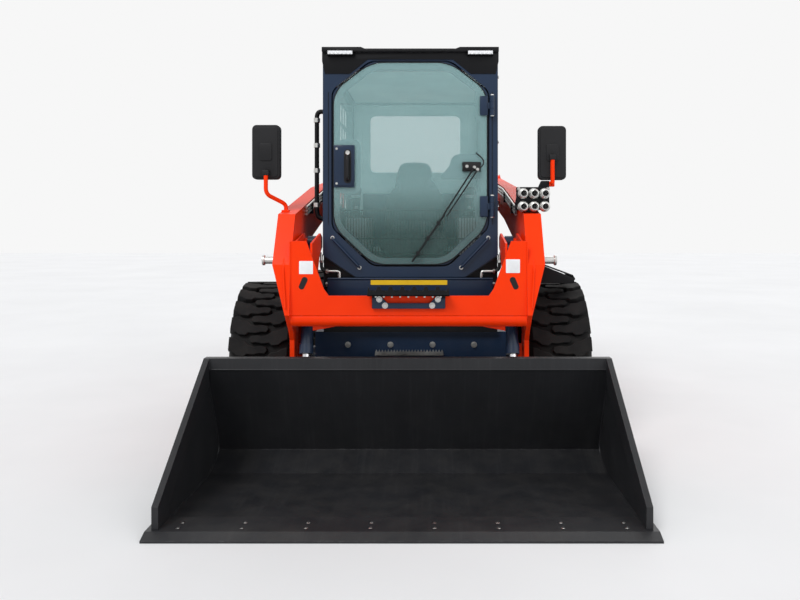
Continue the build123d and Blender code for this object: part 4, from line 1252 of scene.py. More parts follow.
@dataclass
class BucketWork:
    """What is welded and bolted to the bucket: edge bolts, weld beads and latch levers."""

    half: float = 0.908
    skin: float = 0.008
    edge_top: float = 0.019
    bolt_columns: int = 8
    bolt_pitch: float = 0.237
    bolt_rows: tuple[float, float] = (0.080, 0.130)
    heel: tuple[float, float] = (0.913, 0.070)
    back_top: tuple[float, float] = (0.693, 0.494)

    def build(self, workshop: "Workshop") -> None:
        """Builds every piece and sets it on the bucket."""
        workshop.finish(self._edge_bolts(), "bucket", Slot.ZINC)
        workshop.finish(self._beads(), "bucket", Slot.BLACK, workshop.bucket)
        workshop.finish(self._levers(), "bucket", Slot.ZINC)
        log.info("bucket: bolts, beads and levers")

    def wall_point(self, x: float, along: float, outward: float) -> Point:
        """A point up the back wall and outwards from its inner face."""
        run, rise = self.back_top[0] - self.heel[0], self.back_top[1] - self.heel[1]
        length = math.hypot(run, rise)
        up = (run / length, rise / length)
        distance = self.heel[0] + up[0] * along + up[1] * outward
        return (x, behind(distance), self.heel[1] + up[1] * along - up[0] * outward)

    def _edge_bolts(self) -> bpy.types.Object:
        """Plough bolts in the edge plate's holes."""
        first = -self.bolt_pitch * (self.bolt_columns - 1) / 2
        places = [(first + column * self.bolt_pitch, behind(row), self.edge_top)
                  for column in range(self.bolt_columns) for row in self.bolt_rows]
        head = Bench.lathe("plough_head", [(0.0, 0.0), (0.0, 0.0085), (0.004, 0.0085), (0.0055, 0.006),
                                           (0.0055, 0.0)], (0, 0, 0), UP, steps=16)
        return Bench.scatter("edge_bolts", head, places, UP)

    def _beads(self) -> bpy.types.Object:
        """Weld beads behind the edge plate, under the lip and along the side plates."""
        half, top_y = self.half - 0.013, behind(self.back_top[0] + 0.0005)
        edge_z, lip_z = self.skin + 0.002, self.back_top[1] - 0.001
        edge = [(-half, behind(0.187), edge_z), (half, behind(0.187), edge_z)]
        lip = [(-half, top_y, lip_z), (half, top_y, lip_z)]
        parts = [Bench.tube("bead_edge", edge, 0.0045), Bench.tube("bead_lip", lip, 0.0035)]
        for side in SIDES:
            x = side * (self.half - 0.0005)
            route = [(x, behind(0.190), self.skin), (x, behind(0.745), self.skin), (x, behind(0.905), 0.067),
                     self.wall_point(x, 0.110, 0.0), self.wall_point(x, 0.475, 0.0)]
            parts.append(Bench.tube("bead_side", route, 0.004, 0.075))
        return Bench.join("bucket_beads", parts)

    def _levers(self) -> bpy.types.Object:
        """Latch levers with their rods and springs behind the coupler."""
        parts = []
        for side in SIDES:
            x, rod_x = side * 0.315, side * 0.315 + side * 0.03
            bar = [self.wall_point(x, 0.250, 0.062), self.wall_point(x, 0.420, 0.075),
                   self.wall_point(x - side * 0.05, 0.440, 0.080)]
            rod = [self.wall_point(rod_x, 0.130, 0.055), self.wall_point(rod_x, 0.300, 0.058)]
            parts += [Bench.tube("latch_bar", bar, 0.009, 0.02), Bench.tube("latch_rod", rod, 0.010)]
            parts += [self._coil(self.wall_point(rod_x, 0.150 + turn * 0.013, 0.0553), 0.017, 0.0028)
                      for turn in range(9)]
        return Bench.join("coupler_levers", parts)

    @staticmethod
    def _coil(centre: Point, radius: float, thickness: float) -> bpy.types.Object:
        """One turn of a spring round the way up the back wall."""
        wall_axis, sides = (0, -0.4605, 0.8876), 6
        points = [(thickness * math.cos(turn), radius + thickness * math.sin(turn))
                  for turn in (math.tau * index / sides for index in range(sides))]
        return Bench.lathe("latch_coil", points, centre, wall_axis, steps=16, closed=True)


@dataclass
class ArmWork:
    """Studs, blank signs, the step's bracket, beads, seams, nipples and clamps on the lift arms."""

    arm_outer: float = 0.640
    knee: tuple[float, float] = (0.950, 0.976)
    plate_face: float = 0.830
    step_front: float = 0.8217
    bracket_reach: float = 0.009

    def build(self, workshop: "Workshop") -> None:
        """Builds every piece and sets it on the arms."""
        workshop.finish(Bench.pair("knee_studs", self._stud()), "lift_arms", Slot.ZINC)
        workshop.finish(self._signs(), "lift_arms", Slot.CONSOLE, workshop.plain["white sign"])
        workshop.finish(self._bracket(), "lift_arms", Slot.BLUE)
        workshop.finish(self._bracket_bolts(), "lift_arms", Slot.ZINC)
        workshop.finish(self._tread_pins(), "lift_arms", Slot.ZINC)
        workshop.finish(Bench.pair("arm_beads", self._beads()), "lift_arms", Slot.ORANGE)
        workshop.finish(Bench.pair("arm_folds", self._folds()), "lift_arms", Slot.ORANGE)
        workshop.finish(Bench.pair("pin_nipples", self._nipples()), "lift_arms", Slot.ZINC)
        workshop.finish(Bench.pair("tube_clamps", self._clamps()), "lift_arms", Slot.BLACK)
        log.info("arms: studs, signs, step bracket, beads and clamps")

    def _stud(self) -> bpy.types.Object:
        """The bright stop stud on the outside of a knee."""
        distance, height = self.knee
        section = [(0.001, 0.0), (0.001, 0.031), (0.009, 0.031), (0.010, 0.030), (0.010, 0.0178),
                   (0.061, 0.0178), (0.061, 0.0240), (0.062, 0.0248), (0.0705, 0.0248), (0.0725, 0.0225),
                   (0.0725, 0.0)]
        return Bench.lathe("stud", section, (self.arm_outer, behind(distance), height), RIGHT, steps=40)

    def _signs(self) -> bpy.types.Object:
        """Blank white plates on the ears of the cross plate."""
        thickness = 0.0012
        face = behind(self.plate_face) - thickness
        spans = (((-0.514, -0.449), (0.916, 0.977)), ((0.456, 0.522), (0.921, 0.985)))
        return Bench.join("blank_signs", [
            Bench.plate("sign", Bench.upright(across, face, up), (0, thickness, 0), corner=0.003,
                        bevel=0.0003, segments=1) for across, up in spans])

    def _bracket(self) -> bpy.types.Object:
        """Folded bracket below the step, cut out in the middle."""
        right = [(0.170, 0.755), (0.170, 0.806), (0.122, 0.806), (0.100, 0.781)]
        outline = Bench.drawn(right, behind(self.step_front) - self.bracket_reach, mirrored=True)
        return Bench.plate("step_bracket", outline, (0, 0.0085, 0), corner=0.004, bevel=0.0012)

    def _bracket_bolts(self) -> bpy.types.Object:
        """Four bright bolts through the step's bracket."""
        face = behind(self.step_front) - self.bracket_reach
        places = [(side * x, face, z) for side in SIDES for x, z in ((0.137, 0.799), (0.110, 0.770))]
        return Bench.bolts("step_bolts", places, FORWARD, 0.0105, 0.008)

    def _tread_pins(self) -> bpy.types.Object:
        """Bright studs along the step's front edge."""
        places = [(-0.150 + index * 0.0375, behind(0.7677), 0.815) for index in range(9)]
        section = [(0.0, 0.0), (0.0, 0.0045), (0.002, 0.0045), (0.003, 0.003), (0.003, 0.0)]
        head = Bench.lathe("tread_pin", section, (0, 0, 0), UP, steps=12)
        return Bench.scatter("tread_pins", head, places, FORWARD)

    def _beads(self) -> bpy.types.Object:
        """Weld beads where the cross plate meets the right arm, and round the arm's pivot and pin."""
        front, wide = behind(self.plate_face) - 0.001, 0.005
        parts = [Bench.tube("bead_plate", [(0.556, front, 1.068), (0.556, front, 0.724)], 0.004)]
        for distance, height, radius in ((3.200, 1.450, 0.100), (2.300, 1.290, 0.032)):
            ring = [(0.0, radius), (0.003, radius), (0.0, radius + wide)]
            parts.append(Bench.lathe("bead_hub", ring, (self.arm_outer, behind(distance), height), RIGHT,
                                     steps=48, closed=True))
        return Bench.join("bead", parts)

    def _folds(self) -> bpy.types.Object:
        """The seams down the front of the right leg and along the arm's side."""
        x = self.arm_outer + 0.0005
        seam = [(0.585, behind(0.9655), 1.150), (0.588, behind(0.8215), 0.950),
                (0.574, behind(0.8000), 0.760)]
        side = [(x, behind(1.060), 1.180), (x, behind(1.960), 1.345), (x, behind(3.050), 1.470)]
        return Bench.join("fold", [Bench.tube("seam_front", seam, 0.0045, 0.03),
                                   Bench.tube("seam_side", side, 0.004, 0.05)])

    def _nipples(self) -> bpy.types.Object:
        """Grease nipple on top of the right arm's pivot."""
        section = [(0.0, 0.0), (0.0, 0.006), (0.008, 0.006), (0.009, 0.003), (0.016, 0.003), (0.018, 0.0)]
        return Bench.lathe("nipple", section, (0.600, behind(3.200), 1.546), UP, steps=12)

    def _clamps(self) -> bpy.types.Object:
        """Clamps that hold the tubes on the right arm's inner face."""
        half = 0.016
        return Bench.join("clamp", [
            Bench.box("clamp", (0.5385, behind(distance) - half, height - 0.048),
                      (0.5555, behind(distance) + half, height + 0.012), 0.002)
            for distance, height in ((1.400, 1.259), (1.800, 1.335), (2.300, 1.412), (2.800, 1.471))])


@dataclass
class Couplers:
    """Bright couplers, bolts, poppets, tubes and a blank marker on the hydraulic block."""

    block_low: Point = (0.530, 1.020, 1.222)
    block_high: Point = (0.690, 1.070, 1.335)
    columns: tuple[float, float, float] = (0.558, 0.611, 0.664)
    rows: tuple[float, float] = (1.238, 1.302)
    tip: float = 0.970

    def build(self, workshop: "Workshop") -> None:
        """Builds every piece and sets it on the arms."""
        workshop.finish(self._tips(), "lift_arms", Slot.ZINC)
        workshop.finish(self._bolts(), "lift_arms", Slot.ZINC)
        workshop.finish(self._bores(), "lift_arms", Slot.PLASTIC)
        workshop.finish(self._marker(), "lift_arms", Slot.BLACK)
        workshop.finish(self._links(), "lift_arms", Slot.ZINC)
        log.info("coupler block: %d couplers", len(self.columns) * len(self.rows))

    def _turned(self, name: str, section: Sequence[tuple[float, float]], set_back: float,
                steps: int) -> list[bpy.types.Object]:
        """A turned piece in front of each of the block's ports."""
        return [Bench.lathe(name, section, (x, behind(self.tip + set_back), z), FORWARD, steps=steps)
                for x in self.columns for z in self.rows]

    def _tips(self) -> bpy.types.Object:
        """Turned coupler bodies in front of the block."""
        section = [(-0.030, 0.0), (-0.030, 0.0265), (-0.012, 0.0265), (-0.010, 0.0245), (-0.002, 0.0245),
                   (0.0, 0.0225), (0.002, 0.0195), (0.006, 0.0195), (0.007, 0.0208), (0.014, 0.0208),
                   (0.0155, 0.0190), (0.020, 0.0190), (0.0215, 0.0150), (0.0190, 0.0130), (0.008, 0.0120),
                   (0.006, 0.0)]
        return Bench.join("coupler_tips", self._turned("tip", section, 0.018, 28))

    def _bores(self) -> bpy.types.Object:
        """Dark poppets inside the couplers."""
        section = [(-0.004, 0.0), (-0.004, 0.0118), (0.0, 0.0118), (0.006, 0.005), (0.012, 0.0045),
                   (0.012, 0.0)]
        return Bench.join("coupler_poppets", self._turned("poppet", section, 0.010, 20))

    def _bolts(self) -> bpy.types.Object:
        """Bolts at the corners of the block's front."""
        low, high = self.block_low, self.block_high
        places = [(x, behind(low[1]), z) for x in (low[0] + 0.009, high[0] - 0.007)
                  for z in (low[2] + 0.010, high[2] - 0.010)]
        return Bench.bolts("block_bolts", places, FORWARD, 0.0065, 0.006)

    @staticmethod
    def _links() -> bpy.types.Object:
        """Bent tubes from the block to the tubes along the arm."""
        x, parts = 0.5487, []
        for index in range(3):
            start, turn, end = 1.318 - index * 0.030, 1.302 - index * 0.028, 1.2420 - index * 0.017
            route = [(x, behind(1.069), start), (x, behind(1.150), turn), (x, behind(1.256), end)]
            parts.append(Bench.tube("link", route, 0.0070, 0.05, 6))
            section = [(0.0, 0.0), (0.0, 0.0118), (0.014, 0.0118), (0.014, 0.0)]
            parts.append(Bench.lathe("link_nut", section, route[0], BACKWARD, steps=6))
        return Bench.join("block_links", parts)

    def _marker(self) -> bpy.types.Object:
        """Blank marker plate above the couplers."""
        low, high = self.block_low, self.block_high
        return Bench.box("block_marker", (low[0] + 0.020, behind(low[1]) - 0.0015, high[2] - 0.010),
                         (high[0] - 0.020, behind(low[1]), high[2] - 0.003), 0.0003, 1)


@dataclass
class Mirrors:
    """Two large wing mirrors on bent tubes."""

    size: Point = (0.138, 0.056, 0.268)
    left: Point = (-0.706, 1.010, 1.505)
    right: Point = (0.706, 1.045, 1.505)
    stay_radius: float = 0.0105

    def build(self, workshop: "Workshop") -> None:
        """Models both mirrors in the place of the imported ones."""
        parts = []
        for place in (self.left, self.right):
            parts += self._housing(place)
        housings = Bench.join("mirror_housings", parts)
        workshop.finish(housings, "lift_arms", Slot.PLASTIC)
        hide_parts("mirrors")
        workshop.finish(self._stays(), "lift_arms", Slot.ORANGE)
        workshop.finish(self._glasses(), "lift_arms", Slot.GLASS, workshop.plain["mirror silver"])
        workshop.finish(self._clamps(), "lift_arms", Slot.PLASTIC)
        log.info("mirrors: dressed")

    def _face(self, centre: Point, y: float, margin: Span) -> list[Point]:
        """The housing's outline at a place along the machine, with a margin across and upwards."""
        wide, tall = self.size[0] / 2 - margin[0], self.size[2] / 2 - margin[1]
        return Bench.upright((centre[0] - wide, centre[0] + wide), y, (centre[2] - tall, centre[2] + tall))

    def _housing(self, centre: Point) -> list[bpy.types.Object]:
        """A mirror's shell with a raised field and a boss on its back."""
        wide, deep, tall = (value / 2 for value in self.size)
        front = behind(centre[1]) - deep
        shell = Bench.plate("shell", self._face(centre, front + 0.010, (0.0, 0.0)), (0, 2 * deep - 0.010, 0),
                            corner=0.022, bevel=0.007, segments=3)
        field_face = self._face(centre, front + 0.011, (wide * 0.14, tall * 0.08))
        raised = Bench.plate("raised", field_face, (0, -0.006, 0), corner=0.018, bevel=0.0035, segments=3)
        boss_face = self._face(centre, front + 0.006, (wide * 0.55, tall * 0.68))
        return [shell, raised, Bench.plate("boss", boss_face, (0, -0.006, 0), corner=0.012, bevel=0.003)]

    def _stays(self) -> bpy.types.Object:
        """Bent tubes that carry the mirrors, with their feet."""
        left = [(-0.620, behind(1.060), 1.215), (-0.620, behind(1.060), 1.251),
                (-0.702, behind(0.974), 1.298), (-0.702, behind(0.974), 1.405)]
        right = [(0.704, behind(1.040), 1.350), (0.704, behind(1.009), 1.358), (0.704, behind(1.009), 1.484)]
        foot = Bench.box("foot", (-0.638, behind(1.035), 1.212), (-0.602, behind(1.085), 1.222), 0.002)
        block = Bench.box("stay_block", (0.6905, behind(1.032), 1.338), (0.718, behind(1.058), 1.364), 0.003)
        return Bench.join("mirror_stays", [Bench.tube("stay_left", left, self.stay_radius, 0.03, 8),
                                           Bench.tube("stay_right", right, self.stay_radius), foot, block])

    def _glasses(self) -> bpy.types.Object:
        """Silvered panes that face the rear."""
        return Bench.join("mirror_panes", [
            Bench.plate("pane", self._face(centre, behind(centre[1]) + self.size[1] / 2, (0.010, 0.010)),
                        (0, 0.002, 0), corner=0.014, bevel=0.0004, segments=1)
            for centre in (self.left, self.right)])

    def _clamps(self) -> bpy.types.Object:
        """Clamps that hold the stays to the front of the housings."""
        half = 0.016
        return Bench.join("mirror_clamps", [
            Bench.box("clamp", (x - half, behind(distance) - 0.0125, z - half),
                      (x + half, behind(distance) + 0.0145, z + 0.010), 0.003)
            for x, distance, z in ((-0.702, 0.974, 1.405), (0.704, 1.009, 1.484))])


@dataclass
class DoorWork:
    """Seal, printed border, hinges, lock, grip and wiper of the front door."""

    cab: CabShell = field(default_factory=CabShell)
    lock_face: float = 1.0877
    case_depth: float = 0.006
    grip_x: float = -0.3145
    wiper_face: float = 1.0857

    def build(self, workshop: "Workshop") -> None:
        """Builds every piece and sets it on the door or the cab."""
        workshop.finish(self._border(), "door", Slot.GLASS, workshop.plain["printed border"])
        workshop.finish(self._seal(), "door", Slot.RUBBER, workshop.plain["seal rubber"])
        workshop.finish(self._patch(), "door", Slot.GLASS, workshop.plain["printed border"])
        workshop.finish(self._hinge_pins(), "door", Slot.ZINC)
        lock = self._lock()
        workshop.finish(lock, "door", Slot.BLUE)
        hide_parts("door_handle")
        workshop.finish(self._grip(), "door", Slot.PLASTIC)
        workshop.finish(self._lock_metal(), "door", Slot.ZINC)
        wiper = self._wiper()
        workshop.finish(wiper, "door", Slot.PLASTIC)
        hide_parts("wiper")
        workshop.finish(self._wiper_metal(), "door", Slot.ZINC)
        workshop.finish(self._fold_line(), "chassis", Slot.BLACK)
        log.info("door: dressed")

    def _border(self) -> bpy.types.Object:
        """Printed border round the pane."""
        outline = self.cab.pane(-0.001, self.cab.pane_back + 0.0002)
        return Bench.frame("printed_border", outline, 0.029, (0, 0.0008, 0), 0.059, 0.0)

    def _seal(self) -> bpy.types.Object:
        """Rubber seal round the pane's edge."""
        outline = self.cab.pane(0.0055, self.cab.pane_front + 0.001)
        return Bench.frame("pane_seal", outline, 0.0052, (0, 0.0068, 0), 0.066, 0.0008)

    def _patch(self) -> bpy.types.Object:
        """Printed patches behind the wiper's motor, the lock and the hinges."""
        motor = [(0.358, 1.379), (0.155, 1.379), (0.153, 1.397), (0.176, 1.421), (0.199, 1.448),
                 (0.204, 1.478), (0.222, 1.499), (0.247, 1.507), (0.358, 1.507)]
        y = behind(self.cab.pane_back) + 0.0003
        shapes = [(Bench.drawn(motor, y), 0.006), (Bench.upright((-0.372, -0.252), y, (1.306, 1.580)), 0.034)]
        shapes += [(Bench.upright((0.326, 0.372), y, span), 0.016)
                   for span in ((1.166, 1.316), (1.676, 1.822))]
        return Bench.join("printed_patches", [
            Bench.plate("printed_patch", outline, (0, 0.0008, 0), corner=rounding, bevel=0.0)
            for outline, rounding in shapes])

    def _hinge_pins(self) -> bpy.types.Object:
        """Ends of the bright hinge pins, with their collars."""
        x, distance = self.cab.hinge_axis
        parts = []
        for low, high, _ in self.cab.hinges:
            foot = [(low - 0.004, 0.0), (low - 0.004, 0.0095), (low + 0.001, 0.0105), (low + 0.001, 0.0)]
            top = [(high - 0.001, 0.0), (high - 0.001, 0.0105), (high + 0.005, 0.0095), (high + 0.006, 0.0)]
            parts += [Bench.lathe("pin_end", profile, (x, behind(distance), 0.0), UP, steps=20)
                      for profile in (foot, top)]
        return Bench.join("hinge_pins", parts)

    def _lock(self) -> bpy.types.Object:
        """Lock case on its carrier."""
        y = behind(self.lock_face)
        case = Bench.plate("lock_case", Bench.upright((-0.378, -0.290), y, (1.345, 1.542)),
                           (0, -self.case_depth, 0), corner=0.012, bevel=0.002)
        carrier = Bench.box("lock_carrier", (-0.386, y, 1.337), (-0.281, behind(1.0977), 1.550), 0.003)
        return Bench.join("door_lock", [case, carrier])

    def _grip(self) -> bpy.types.Object:
        """Dark well with its bowed grip."""
        x, y = self.grip_x, behind(self.lock_face) - self.case_depth
        well = Bench.plate("grip_well", Bench.upright((-0.333, -0.296), y, (1.357, 1.527)), (0, -0.0016, 0),
                           corner=0.017, bevel=0.0004, segments=1)
        bow = [(x, y - 0.001, 1.374), (x, y - 0.019, 1.382), (x, y - 0.019, 1.482), (x, y - 0.001, 1.490)]
        return Bench.join("door_grip", [well, Bench.tube("grip_bar", bow, 0.0095, 0.014, 6)])

    def _lock_metal(self) -> bpy.types.Object:
        """Lock barrel and screws."""
        y = behind(self.lock_face) - self.case_depth
        section = [(0.0, 0.0), (0.0, 0.011), (0.003, 0.0115), (0.005, 0.0095), (0.004, 0.006), (0.004, 0.0)]
        barrel = Bench.lathe("barrel", section, (self.grip_x, y - 0.001, 1.511), FORWARD, steps=24)
        screws = Bench.bolts("lock_screws", [(-0.370, y, 1.356), (-0.370, y, 1.531)], FORWARD, 0.0045, 0.003)
        return Bench.join("lock_metal", [barrel, screws])

    def _wiper(self) -> bpy.types.Object:
        """Motor cover, twin arm, blade and washer hose."""
        y = behind(self.wiper_face)
        cover = Bench.plate("motor_cover", Bench.upright((0.268, 0.350), y, (1.424, 1.458)), (0, -0.008, 0),
                            corner=0.016, bevel=0.003)
        mount = Bench.box("motor_mount", (0.262, y, 1.417), (0.355, behind(1.0977), 1.465), 0.002)
        arm = [(0.322, y - 0.014, 1.437), (0.166, y - 0.014, 1.196)]
        lower = [(0.338, y - 0.013, 1.424), (0.182, y - 0.013, 1.189)]
        blade = [Vector((0.172, y - 0.005, 1.199)), Vector((0.009, y - 0.003, 0.962))]
        hose = [(0.330, y + 0.004, 1.512), (0.366, y - 0.004, 1.480), (0.372, y - 0.006, 1.456),
                (0.345, y - 0.010, 1.428), (0.322, y - 0.012, 1.436)]
        parts = [cover, mount, Bench.tube("arm_upper", arm, 0.0042), Bench.tube("arm_lower", lower, 0.0038),
                 Bench.tube("blade_spine", blade, 0.0055), Bench.tube("washer_hose", hose, 0.0032, 0.03, 8)]
        for share in (0.18, 0.5, 0.82):
            place = blade[0].lerp(blade[1], share)
            parts.append(Bench.box("blade_yoke", place - Vector((0.009, 0.006, 0.012)),
                                   place + Vector((0.009, 0.005, 0.012)), 0.002, 1))
        return Bench.join("wiper_dressed", parts)

    def _wiper_metal(self) -> bpy.types.Object:
        """Spindle nuts of the wiper."""
        y = behind(self.wiper_face) - 0.008
        places = [(0.322, y - 0.006, 1.437), (0.338, y - 0.006, 1.426), (0.285, y, 1.442)]
        return Bench.bolts("wiper_nuts", places, FORWARD, 0.006, 0.006)

    def _fold_line(self) -> bpy.types.Object:
        """Shadow joints down the cab's face beside the door."""
        half = 0.0012
        return Bench.join("fold_lines", [
            Bench.box("fold", (side * 0.4145 - half, behind(1.1035), 1.150),
                      (side * 0.4145 + half, behind(1.1042), 1.820), 0.0) for side in SIDES])


@dataclass
class CabFront:
    """Lamps, low step, rail, blank strip, elbows, hoses and bolts round the cab's front."""

    lamp_centres: tuple[float, float] = (-0.353, 0.353)
    lamp_height: float = 2.015
    lamp_face: float = 1.080
    fender: tuple[float, float] = (0.655, 0.850)
    face: float = 1.1065
    pipes: float = 1.1215
    rail: tuple[float, float] = (-0.487, 1.200)
    bar_feet: tuple[tuple[float, float], ...] = ((0.394, 1.083), (0.257, 0.932))

    def build(self, workshop: "Workshop") -> None:
        """Builds every piece and sets it on the chassis."""
        workshop.finish(self._lamp_cases(), "chassis", Slot.BLACK)
        workshop.finish(self._lamp_dots(), "chassis", Slot.LENS)
        workshop.finish(self._lamp_panes(), "chassis", Slot.LENS, workshop.plain["lit diode"])
        workshop.finish(self._lower_step(), "chassis", Slot.ZINC)
        rail = self._rail()
        workshop.finish(rail, "chassis", Slot.BLACK)
        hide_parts("grab_rail")
        workshop.finish(self._yellow_strip(), "chassis", Slot.CONSOLE, workshop.plain["yellow sign"])
        workshop.finish(self._bolts(), "chassis", Slot.ZINC)
        workshop.finish(self._face_bars(), "chassis", Slot.BLUE)
        workshop.finish(self._elbows(), "chassis", Slot.ZINC)
        workshop.finish(self._hoses(), "chassis", Slot.PLASTIC)
        workshop.finish(self._fender_plates(), "chassis", Slot.BLACK)
        workshop.finish(self._rail_clamps(), "chassis", Slot.ZINC)
        log.info("cab front: lamps, step, rail, elbows and bolts")

    def _lamp_cases(self) -> bpy.types.Object:
        """Thin frames round the lamps."""
        half, tall = 0.066, 0.0125
        up = (self.lamp_height - tall, self.lamp_height + tall)
        return Bench.join("lamp_cases", [
            Bench.frame("lamp_frame", Bench.upright((x - half, x + half), behind(self.lamp_face), up), 0.003,
                        (0, -0.004, 0), 0.004, 0.0006) for x in self.lamp_centres])

    def _lamp_dots(self) -> bpy.types.Object:
        """Six round lenses in each lamp."""
        section = [(0.0, 0.0), (0.0, 0.0088), (0.001, 0.0088), (0.003, 0.006), (0.004, 0.0)]
        lens = Bench.lathe("lens_dot", section, (0, 0, 0), UP, steps=20)
        places = [(x + (index - 2.5) * 0.0205, behind(self.lamp_face), self.lamp_height)
                  for x in self.lamp_centres for index in range(6)]
        return Bench.scatter("lamp_dots", lens, places, FORWARD)

    def _lamp_panes(self) -> bpy.types.Object:
        """Bright panes behind the lenses."""
        half, tall, y = 0.0625, 0.0095, behind(self.lamp_face)
        return Bench.join("lamp_panes", [
            Bench.box("lamp_pane", (x - half, y - 0.0012, self.lamp_height - tall),
                      (x + half, y, self.lamp_height + tall), 0.0004, 1) for x in self.lamp_centres])

    @staticmethod
    def _lower_step() -> bpy.types.Object:
        """Toothed strip of the low step on the chassis front."""
        teeth, half, off_centre = 23, 0.174, 0.006
        pitch = 2 * half / teeth
        corners = [(-half, 0.490), (half, 0.490)]
        for index in reversed(range(teeth)):
            start = -half + index * pitch
            corners += [(start + pitch * share, z) for share, z in ((0.9, 0.504), (0.5, 0.517), (0.1, 0.504))]
        outline = [(x - off_centre, behind(1.112), z) for x, z in corners]
        front = Bench.plate("low_teeth", outline, (0, 0.004, 0), bevel=0.0)
        tread = Bench.box("low_tread", (-0.180, behind(1.112), 0.486), (0.168, behind(1.1678), 0.491),
                          0.0008, 1)
        return Bench.join("lower_step", [front, tread])

    def _rail(self) -> bpy.types.Object:
        """Bent entry rail on the left side of the cab."""
        (x, distance), wall = self.rail, -0.4435
        corners = [(wall, 1.735), (x, 1.735), (x, 1.190), (wall, 1.175)]
        return Bench.tube("entry_rail", Bench.drawn(corners, behind(distance)), 0.012, 0.034, 8)

    def _yellow_strip(self) -> bpy.types.Object:
        """Blank yellow strip on the front beam."""
        outline = Bench.upright((-0.198, 0.186), behind(1.0755), (0.847, 0.8705))
        return Bench.plate("yellow_strip", outline, (0, -0.0006, 0), corner=0.002, bevel=0.0)

    def _bolts(self) -> bpy.types.Object:
        """Bolts on the chassis plate and at the face bars' feet."""
        front = [(x, behind(1.1675), 0.533) for x in (-0.322, -0.104, 0.112, 0.325)]
        feet = [(side * x, behind(self.face), z) for side in SIDES for x, z in self.bar_feet]
        return Bench.join("cab_front_bolts", [Bench.bolts("front_bolts", front, FORWARD, 0.0115, 0.010),
                                              Bench.bolts("rail_bolts", feet, FORWARD, 0.0075, 0.007)])

    def _face_bars(self) -> bpy.types.Object:
        """Short bars across the lower corners of the cab's face."""
        (high_x, high), (low_x, low) = self.bar_feet
        front = behind(1.088)
        return Bench.join("face_bars", [
            Bench.tube("face_bar", [(side * high_x, behind(self.face), high),
                                    (side * high_x, front, high - 0.004),
                                    (side * low_x, front, low + 0.002),
                                    (side * low_x, behind(self.face), low)],
                       0.006, 0.012) for side in SIDES])

    def _elbows(self) -> bpy.types.Object:
        """Bright elbows below the cab's cut corners, each as (x, height, reach inwards, drop)."""
        section = [(0.0, 0.0), (0.0, 0.0125), (0.011, 0.0125), (0.011, 0.0)]
        elbows = ((0.452, 0.998, 0.0, 0.030), (0.418, 0.912, 0.058, 0.040), (0.418, 0.846, 0.040, 0.0))
        y = behind(self.pipes)
        parts = []
        for side in SIDES:
            for x, z, reach, drop in elbows:
                start, end = (side * x, y, z), (side * (x - reach), y, z)
                foot = (end[0], y, z - drop) if drop else end
                parts += [Bench.tube("elbow", [start, end] + ([foot] if drop else []), 0.0085, 0.012),
                          Bench.lathe("collar", section, start, (side, 0, 0), steps=6),
                          Bench.lathe("nut", section, foot, (0, 0, -1) if drop else (-side, 0, 0), steps=6)]
        return Bench.join("elbows", parts)

    def _hoses(self) -> bpy.types.Object:
        """Short rigid hoses below the elbows, behind the face plate."""
        routes = [[(0.452, self.pipes, 0.958), (0.452, self.pipes, 0.925), (0.429, self.pipes, 0.912)],
                  [(0.360, self.pipes, 0.861), (0.360, self.pipes + 0.003, 0.800)]]
        return Bench.join("corner_hoses", [
            Bench.tube("hose", [(side * x, behind(distance), z) for x, distance, z in route], 0.0088, 0.02)
            for side in SIDES for route in routes])

    def _fender_plates(self) -> bpy.types.Object:
        """Front plate below the side plate."""
        low_x, high_x = self.fender
        corners = [(low_x, 0.846), (high_x - 0.004, 0.846), (high_x - 0.004, 0.872), (low_x, 0.950)]
        return Bench.plate("fender_plate", Bench.drawn(corners, behind(1.190)), (0, 0.004, 0), corner=0.006,
                           bevel=0.001)

    def _rail_clamps(self) -> bpy.types.Object:
        """Bright clamps on the left grab rail."""
        (x, distance), half = self.rail, 0.011
        section = [(-half, 0.0122), (-half, 0.0165), (half, 0.0165), (half, 0.0122)]
        return Bench.join("rail_clamps", [
            Bench.lathe("rail_clamp", section, (x, behind(distance), z), UP, steps=24, closed=True)
            for z in (1.252, 1.430, 1.560, 1.690)])


